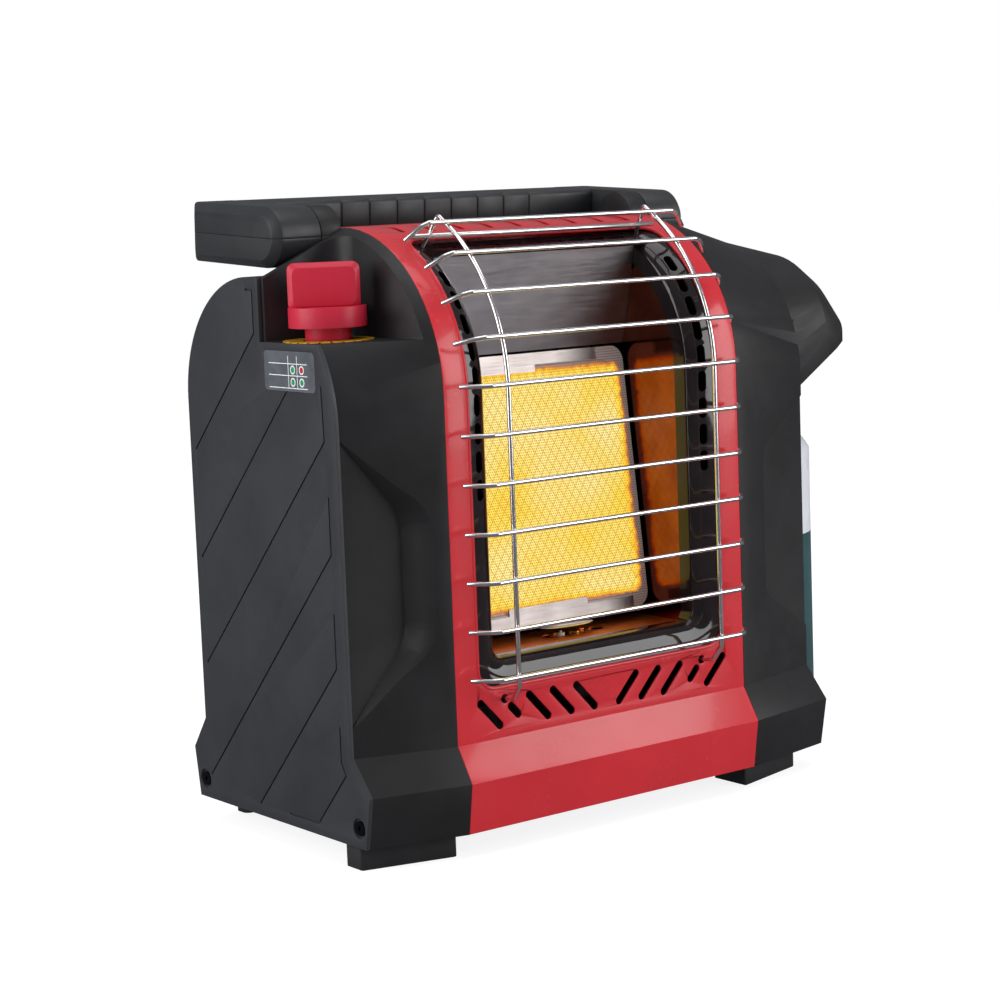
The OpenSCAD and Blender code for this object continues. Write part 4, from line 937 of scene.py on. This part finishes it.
@dataclass
class WireGuard:
    """The welded wire guard: crossbars with bent ends, a rear bar and two uprights.

    Attributes:
        hood: The curve that the guard follows.
        radius: Distance of the crossbars from the curve's centre.
        wire_r: Radius of the wire with its plating.
        behind: How far the uprights' centres lie behind the crossbars'.
        upright_x: Half distance between the uprights.
        pitch: Distance between crossbars on the upright face.
        step: Degrees between crossbars on the curve.
        rise: Height of the highest straight crossbar over the curve's centre.
        straight: Number of crossbars on the upright face.
        curved: Number of crossbars on the curve.
        bar_half: Half length of a crossbar, where its bend starts and where it ends.
        bar_drop: How far a crossbar bends back at these three places.
        rear_x: X of the rear bar's ends.
        rear_share: Its place down the uprights' rear slope.
        apex: How far an upright runs on past the curve.
        rear_foot: How far out an upright's rear foot stands, and its Y and Z.
        low_foot: How far in each corner of an upright's lower end stands, and its Y and Z.
        knee: Height where an upright leaves its lower bend.
        bends: Bend radii of the crossbars, of the uprights' lower end and of their top.
    """

    hood: Hood = field(default_factory=Hood)
    radius: float = 108.25
    wire_r: float = 1.35
    behind: float = 2.52
    upright_x: float = 75.0
    pitch: float = 26.7
    step: float = 13.87
    rise: float = 4.2
    straight: int = 7
    curved: int = 4
    bar_half: tuple[float, ...] = (101.0, 92.8, 88.0)
    bar_drop: tuple[float, ...] = (11.0, 2.2, 0.0)
    rear_x: tuple[float, float] = (-92.0, 85.0)
    rear_share: float = 0.57
    apex: float = 12.0
    rear_foot: tuple[float, float, float] = (3.0, -31.4, 332.5)
    low_foot: tuple[tuple[float, float, float], ...] = ((1.7, -81.0, 83.3), (1.2, -94.0, 84.5))
    knee: float = 93.0
    bends: tuple[float, float, float] = (4.0, 3.0, 2.0)

    def build(self) -> None:
        """Makes the crossbars and the uprights."""
        bars = bmesh.new()
        for i in range(self.straight):
            self._crossbar(bars, 0.0, self.rise - i * self.pitch)
        base = math.degrees(self.rise / self.radius)
        for i in range(1, self.curved + 1):
            self._crossbar(bars, base + i * self.step, 0.0)
        top, apex, foot = self._upright_ends()
        slope = foot - apex
        side = Vector((0.0, slope.z, -slope.y)).normalized()
        rear = apex + slope * self.rear_share + side * self.behind
        stations = (self.rear_x[0], 0.0, self.rear_x[1])
        wire(bars, [at(x, rear.y, rear.z) for x in stations], self.wire_r * MM)
        place_piece(bars, "guard_bars", CHROME_WIRE, "chassis", ["guard_crossbars"])
        uprights = bmesh.new()
        for sense in (-1.0, 1.0):
            path = self._upright(top, apex, foot)
            wire(uprights, [at(sense * p.x, p.y, p.z) for p in path], self.wire_r * MM)
        place_piece(
            uprights, "guard_side_wires", UPRIGHT_WIRE, "chassis", ["guard_uprights"]
        )

    def _crossbar(self, mesh: bmesh.types.BMesh, angle: float, height: float) -> None:
        """Adds one crossbar.

        Args:
            mesh: The mesh that takes it.
            angle: Degrees round the hood's curve.
            height: Height over the curve's centre, for the straight ones.
        """
        turn = math.radians(angle)
        half = list(zip(self.bar_half, self.bar_drop))
        ends = [(-x, drop) for x, drop in half] + half[::-1]
        corners = []
        for x, drop in ends:
            reach = self.radius - drop
            y = self.hood.axis[0] - reach * math.cos(turn)
            z = self.hood.axis[1] + reach * math.sin(turn) + height
            corners.append(at(x, y, z))
        wire(mesh, filleted(corners, self.bends[0] * MM), self.wire_r * MM)

    def _upright_ends(self) -> tuple[Vector, Vector, Vector]:
        """Gives the end of an upright's curve, its highest point and its rear foot."""
        turn = math.radians(self._last_angle())
        reach = self.radius - self.behind
        y, z = self.hood.axis
        top = Vector((self.upright_x, y - reach * math.cos(turn), z + reach * math.sin(turn)))
        apex = top + Vector((0.0, math.sin(turn), math.cos(turn))) * self.apex
        return top, apex, Vector((self.upright_x, 0.0, 0.0)) + Vector(self.rear_foot)

    def _last_angle(self) -> float:
        """Gives the degrees round the curve where an upright leaves it."""
        return math.degrees(self.rise / self.radius) + self.curved * self.step - 1.0

    def _upright(self, top: Vector, apex: Vector, foot: Vector) -> list[Vector]:
        """Gives an upright's whole path in the drawing's millimetres."""
        reach = self.radius - self.behind
        y, z = self.hood.axis
        x = self.upright_x
        low = [Vector((x - inset, foot_y, foot_z)) for inset, foot_y, foot_z in self.low_foot]
        low += [Vector((x, y - reach, height)) for height in (self.knee, z)]
        turns = [math.radians(self._last_angle() * i / 24) for i in range(1, 24)]
        arc = [Vector((x, y - reach * math.cos(a), z + reach * math.sin(a))) for a in turns]
        return filleted(low, self.bends[1]) + arc + filleted([top, apex, foot], self.bends[2])


@dataclass
class PilotShield:
    """The half-round bright plate over the pilot, under the tile's lower edge.

    Attributes:
        middle: X, Y and Z of the straight edge's middle in the drawing.
        size: Half width and depth in millimetres.
        sheet_t: Thickness of the sheet.
        dome: Width and height of each ring of the dome, in shares of the size and the thickness.
        steps: Steps round the half circle.
    """

    middle: tuple[float, float, float] = (6.0, -41.0, 109.4)
    size: tuple[float, float] = (20.0, 11.0)
    sheet_t: float = 0.8
    dome: tuple[tuple[float, float], ...] = (
        (0.35, 0.55),
        (0.7, 0.35),
        (0.95, 0.0),
        (1.0, -0.5),
        (0.92, -0.9),
    )
    steps: int = 24

    def build(self) -> None:
        """Makes the plate, slightly domed towards its middle."""
        mesh = bmesh.new()
        x, y, z = self.middle
        rings = []
        turns = [math.pi * k / self.steps for k in range(self.steps + 1)]
        for scale, height in self.dome:
            half_w, deep = self.size[0] * scale, self.size[1] * scale
            level = z + height * self.sheet_t
            rings.append([at(x + half_w * math.cos(a), y - deep * math.sin(a), level) for a in turns])
        loft(mesh, rings)
        place_piece(mesh, "pilot_plate", MIRROR_PLATE, "chassis", ["pilot_shield"])


@dataclass
class Handle:
    """The folding handle's two half shells.

    Attributes:
        pivot: Y and Z of the pivot in the drawing.
        tilt: How far it tilts up at rest, in degrees.
        radius: Radius of the pivot ends, and half of the thickness.
        arm: X of the arms' inner and outer faces.
        grip: Y of the grip's front and back.
        chamfer: Chamfer of the rear corners.
        bevel: Bevel round the end faces.
        seam: Half width of the gap between the shells.
        grooves: Number of finger grooves.
        groove_pitch: Distance from groove to groove.
        groove_half: Half width of a groove at its mouth and at its floor.
        groove_deep: Depth of a groove.
        rounding: Radius of the grip's and the arms' long edges.
        inset: How far the grip lies inside the arms' faces.
        overlap: How far it runs into the arms.
        edge: Radius and angle in degrees of the bevel on the sharper edges.
    """

    pivot: tuple[float, float] = (21.9, 340.7)
    tilt: float = 3.0
    radius: float = 17.0
    arm: tuple[float, float] = (121.0, 151.0)
    grip: tuple[float, float] = (60.0, 101.0)
    chamfer: float = 7.0
    bevel: float = 4.5
    seam: float = 0.08
    grooves: int = 8
    groove_pitch: float = 20.0
    groove_half: tuple[float, float] = (0.7, 0.3)
    groove_deep: float = 0.7
    rounding: float = 3.0
    inset: float = 0.1
    overlap: float = 1.5
    edge: tuple[float, float] = (0.4, 30.0)

    def build(self) -> None:
        """Makes the upper and the lower shell."""
        for name, sense in (("handle_upper", 1.0), ("handle_lower", -1.0)):
            mesh = bmesh.new()
            for side in (-1.0, 1.0):
                self._arm(mesh, side, sense)
            self._grip(mesh, sense)
            obj = place_piece(mesh, name + "_shell", HANDLE_ABS, "handle", [name])
            soft = obj.modifiers.new("soft_edges", "BEVEL")
            soft.width = self.edge[0] * MM
            soft.segments = 2
            soft.limit_method = "ANGLE"
            soft.angle_limit = math.radians(self.edge[1])
            obj.modifiers.move(len(obj.modifiers) - 1, 0)

    def _place(self, x: float, y: float, z: float) -> Vector:
        """Turns a place in the handle's own frame to the row's metres."""
        turn = math.radians(self.tilt)
        level = y * math.cos(turn) - z * math.sin(turn)
        height = y * math.sin(turn) + z * math.cos(turn)
        return at(x, self.pivot[0] + level, self.pivot[1] + height)

    def _arm(self, mesh: bmesh.types.BMesh, side: float, sense: float) -> None:
        """Adds one arm's half: a round pivot end, a slab and a bevelled end face."""
        inner, outer = self.arm
        back = self.grip[1] - self.pivot[0]
        stations = (
            (inner, 0.0, back),
            (outer - self.chamfer, 0.0, back),
            (outer - self.bevel, 0.0, back - self.chamfer + self.bevel),
            (outer, self.bevel, back - self.chamfer - self.bevel * 0.6),
        )
        rings = []
        for x, inset, rear in stations:
            r = self.radius - inset
            turns = [math.pi * k / 40 for k in range(1, 21)]
            arc = [(-r * math.cos(a), r * math.sin(a)) for a in turns]
            outline = [(-r, self.seam)] + arc + self._corner(rear, r) + [(rear, self.seam)]
            rings.append([self._place(side * x, y, sense * z) for y, z in outline])
        loft(mesh, rings)

    def _corner(self, rear: float, top: float) -> list[tuple[float, float]]:
        """Gives the rounded corner between the top and the rear face."""
        r = self.rounding
        turns = [math.pi * k / 8 for k in range(5)]
        return [(rear - r + r * math.sin(a), top - r + r * math.cos(a)) for a in turns]

    def _grip(self, mesh: bmesh.types.BMesh, sense: float) -> None:
        """Adds the grip's half between the arms, with finger grooves in its front."""
        front, back = (y - self.pivot[0] for y in self.grip)
        back, top = back - self.inset, self.radius - self.inset
        reach = self.arm[0] + self.overlap
        mouth, floor = self.groove_half
        profile = ((-mouth, 0.0), (-floor, self.groove_deep), (floor, self.groove_deep), (mouth, 0.0))
        stations = [(-reach, 0.0)]
        for i in range(self.grooves):
            middle = self.groove_pitch * (i - (self.grooves - 1) / 2)
            stations += [(middle + shift, deep) for shift, deep in profile]
        stations.append((reach, 0.0))
        r = self.rounding
        turns = [math.pi * k / 8 for k in range(5)]
        rings = []
        for x, deep in stations:
            outline = [(front + deep, self.seam)]
            outline += [
                (front + deep + r * (1 - math.cos(a)), top - r + (r - deep * 0.6) * math.sin(a))
                for a in turns
            ]
            outline += self._corner(back, top) + [(back, self.seam)]
            rings.append([self._place(x, y, sense * z) for y, z in outline])
        loft(mesh, rings)


@dataclass
class Studio:
    """Camera, pale floor and soft studio light.

    Attributes:
        eye: The camera's place in the drawing, in millimetres.
        right: Unit vector to the picture's right.
        up: Unit vector to the picture's top.
        forward: Unit vector of the view.
        focal_px: Focal length in pixels of the picture.
        picture_px: Side of the square picture.
        sensor_mm: Width of the camera's sensor.
        clip: Nearest and farthest distance that the camera sees, in metres.
        floor_half: Half of the floor's side in metres.
    """

    eye: tuple[float, float, float] = (-873.73, -1136.04, 368.09)
    right: tuple[float, float, float] = (0.79137, -0.61018, -0.03754)
    up: tuple[float, float, float] = (0.10923, 0.08072, 0.99073)
    forward: tuple[float, float, float] = (0.6015, 0.7881, -0.1305)
    focal_px: float = 2437.0
    picture_px: float = 1000.0
    sensor_mm: float = 36.0
    clip: tuple[float, float] = (0.01, 50.0)
    floor_half: float = 12.0

    def build(self) -> None:
        """Sets the colour management and makes the camera, floor and lights."""
        scene = bpy.context.scene
        scene.view_settings.view_transform = "Standard"
        self._camera(scene)
        self._floor(scene)
        self._world(scene)
        for softbox in SOFTBOXES:
            softbox.build()

    def _camera(self, scene: bpy.types.Scene) -> None:
        """Makes the camera at the photograph's place."""
        data = bpy.data.cameras.new("camera")
        data.sensor_width = self.sensor_mm
        data.lens = self.focal_px / self.picture_px * self.sensor_mm
        data.clip_start, data.clip_end = self.clip
        camera = bpy.data.objects.new("camera", data)
        turn = Matrix((self.right, self.up, [-v for v in self.forward])).transposed()
        camera.matrix_world = Matrix.Translation(at(*self.eye)) @ turn.to_4x4()
        scene.collection.objects.link(camera)
        scene.camera = camera

    def _floor(self, scene: bpy.types.Scene) -> None:
        """Makes the pale floor, which the camera sees as near white and reflections as mid grey."""
        mesh = bpy.data.meshes.new("floor")
        half = self.floor_half
        corners = [(-half, -half, 0), (half, -half, 0), (half, half, 0), (-half, half, 0)]
        mesh.from_pydata(corners, [], [(0, 1, 2, 3)])
        floor = bpy.data.objects.new("floor", mesh)
        scene.collection.objects.link(floor)
        material = bpy.data.materials.new("matt_white_floor")
        material.use_nodes = True
        tree = material.node_tree
        tree.nodes.clear()
        rays = add_node(tree, "LightPath")
        seen = self._seen(tree, rays)
        dull = add_node(tree, "BsdfDiffuse", {"Color": linear("#CFCFCF")})
        lit = add_node(tree, "BsdfDiffuse", {"Color": linear("#8C8C8C")})
        glow = add_node(tree, "Emission", {"Color": linear("#EEEEEE")})
        bright = add_node(tree, "AddShader", links={0: lit.outputs[0], 1: glow.outputs[0]})
        mirrored = add_node(tree, "Emission", {"Color": linear("#66686C")})
        camera = rays.outputs["Is Camera Ray"]
        views = {0: camera, 1: mirrored.outputs[0], 2: bright.outputs[0]}
        shown = add_node(tree, "MixShader", links=views)
        both = add_node(tree, "MixShader", links={0: seen, 1: dull.outputs[0], 2: shown.outputs[0]})
        add_node(tree, "OutputMaterial", links={"Surface": both.outputs[0]})
        mesh.materials.append(material)

    def _seen(self, tree: Tree, rays: bpy.types.Node) -> Socket:
        """Returns 1 for camera, glossy and transmission rays, and 0 for the rest."""
        total = rays.outputs["Is Camera Ray"]
        for name in ("Is Glossy Ray", "Is Transmission Ray"):
            either = {0: total, 1: rays.outputs[name]}
            total = add_node(tree, "Math", {"operation": "MAXIMUM"}, either).outputs[0]
        return total

    def _world(self, scene: bpy.types.Scene) -> None:
        """Makes the white surround, darker overhead in reflections, and the plain fill light."""
        world = bpy.data.worlds.new("studio")
        world.use_nodes = True
        scene.world = world
        tree = world.node_tree
        tree.nodes.clear()
        rays = add_node(tree, "LightPath")
        seen = self._seen(tree, rays)
        place = add_node(tree, "TexCoord").outputs["Generated"]
        height = add_node(tree, "SeparateXYZ", links={0: place}).outputs["Z"]
        ramp = add_node(tree, "ValToRGB", links={"Fac": height})
        steps = ((0.05, "#5A5B5F"), (0.75, "#8A8C90"))
        for element, (position, code) in zip(ramp.color_ramp.elements, steps):
            element.position = position
            element.color = linear(code)
        white = {"data_type": "RGBA", 7: linear("#FFFFFF")}
        views = {0: rays.outputs["Is Camera Ray"], 6: ramp.outputs["Color"]}
        mirrored = add_node(tree, "Mix", white, views)
        fill = {"data_type": "RGBA", 6: linear("#C4C6CA")}
        shown = add_node(tree, "Mix", fill, {0: seen, 7: mirrored.outputs[2]})
        sky = add_node(tree, "Background", {"Strength": 1.0}, {"Color": shown.outputs[2]})
        add_node(tree, "OutputWorld", links={"Surface": sky.outputs[0]})


@dataclass(frozen=True)
class Softbox:
    """One area light that faces the heater.

    Attributes:
        name: The light's name.
        place: Where it hangs, in metres.
        size: Width and height in metres.
        watts: Its power.
    """

    name: str
    place: tuple[float, float, float]
    size: tuple[float, float]
    watts: float

    def build(self) -> None:
        """Makes the light and turns it to the heater's middle."""
        data = bpy.data.lights.new(self.name, "AREA")
        data.shape = "RECTANGLE"
        data.size, data.size_y = self.size
        data.energy = self.watts
        light = bpy.data.objects.new(self.name, data)
        light.location = self.place
        towards = Vector((0.0, 0.0, 0.18)) - light.location
        light.rotation_euler = towards.to_track_quat("-Z", "Y").to_euler()
        bpy.context.scene.collection.objects.link(light)


SOFTBOXES = (
    # Broad front light from the right of the camera: lights the red face
    Softbox("front_right", (1.3, -1.7, 0.7), (1.4, 1.4), 26.0),
    # Light from the left and behind: a sheen along the side panel
    Softbox("left_back", (-1.7, 0.3, 0.7), (1.3, 1.5), 24.0),
    # Soft light overhead
    Softbox("top", (0.1, -0.2, 2.0), (1.6, 1.6), 14.0),
)


def main() -> None:
    """Builds the studio and every sub-assembly in order."""
    logging.basicConfig(level=logging.INFO, format="%(name)s: %(message)s")
    Studio().build()
    Casework().build()
    OpeningLip().build()
    WireGuard().build()
    PilotShield().build()
    Handle().build()


if __name__ == "__main__":
    main()
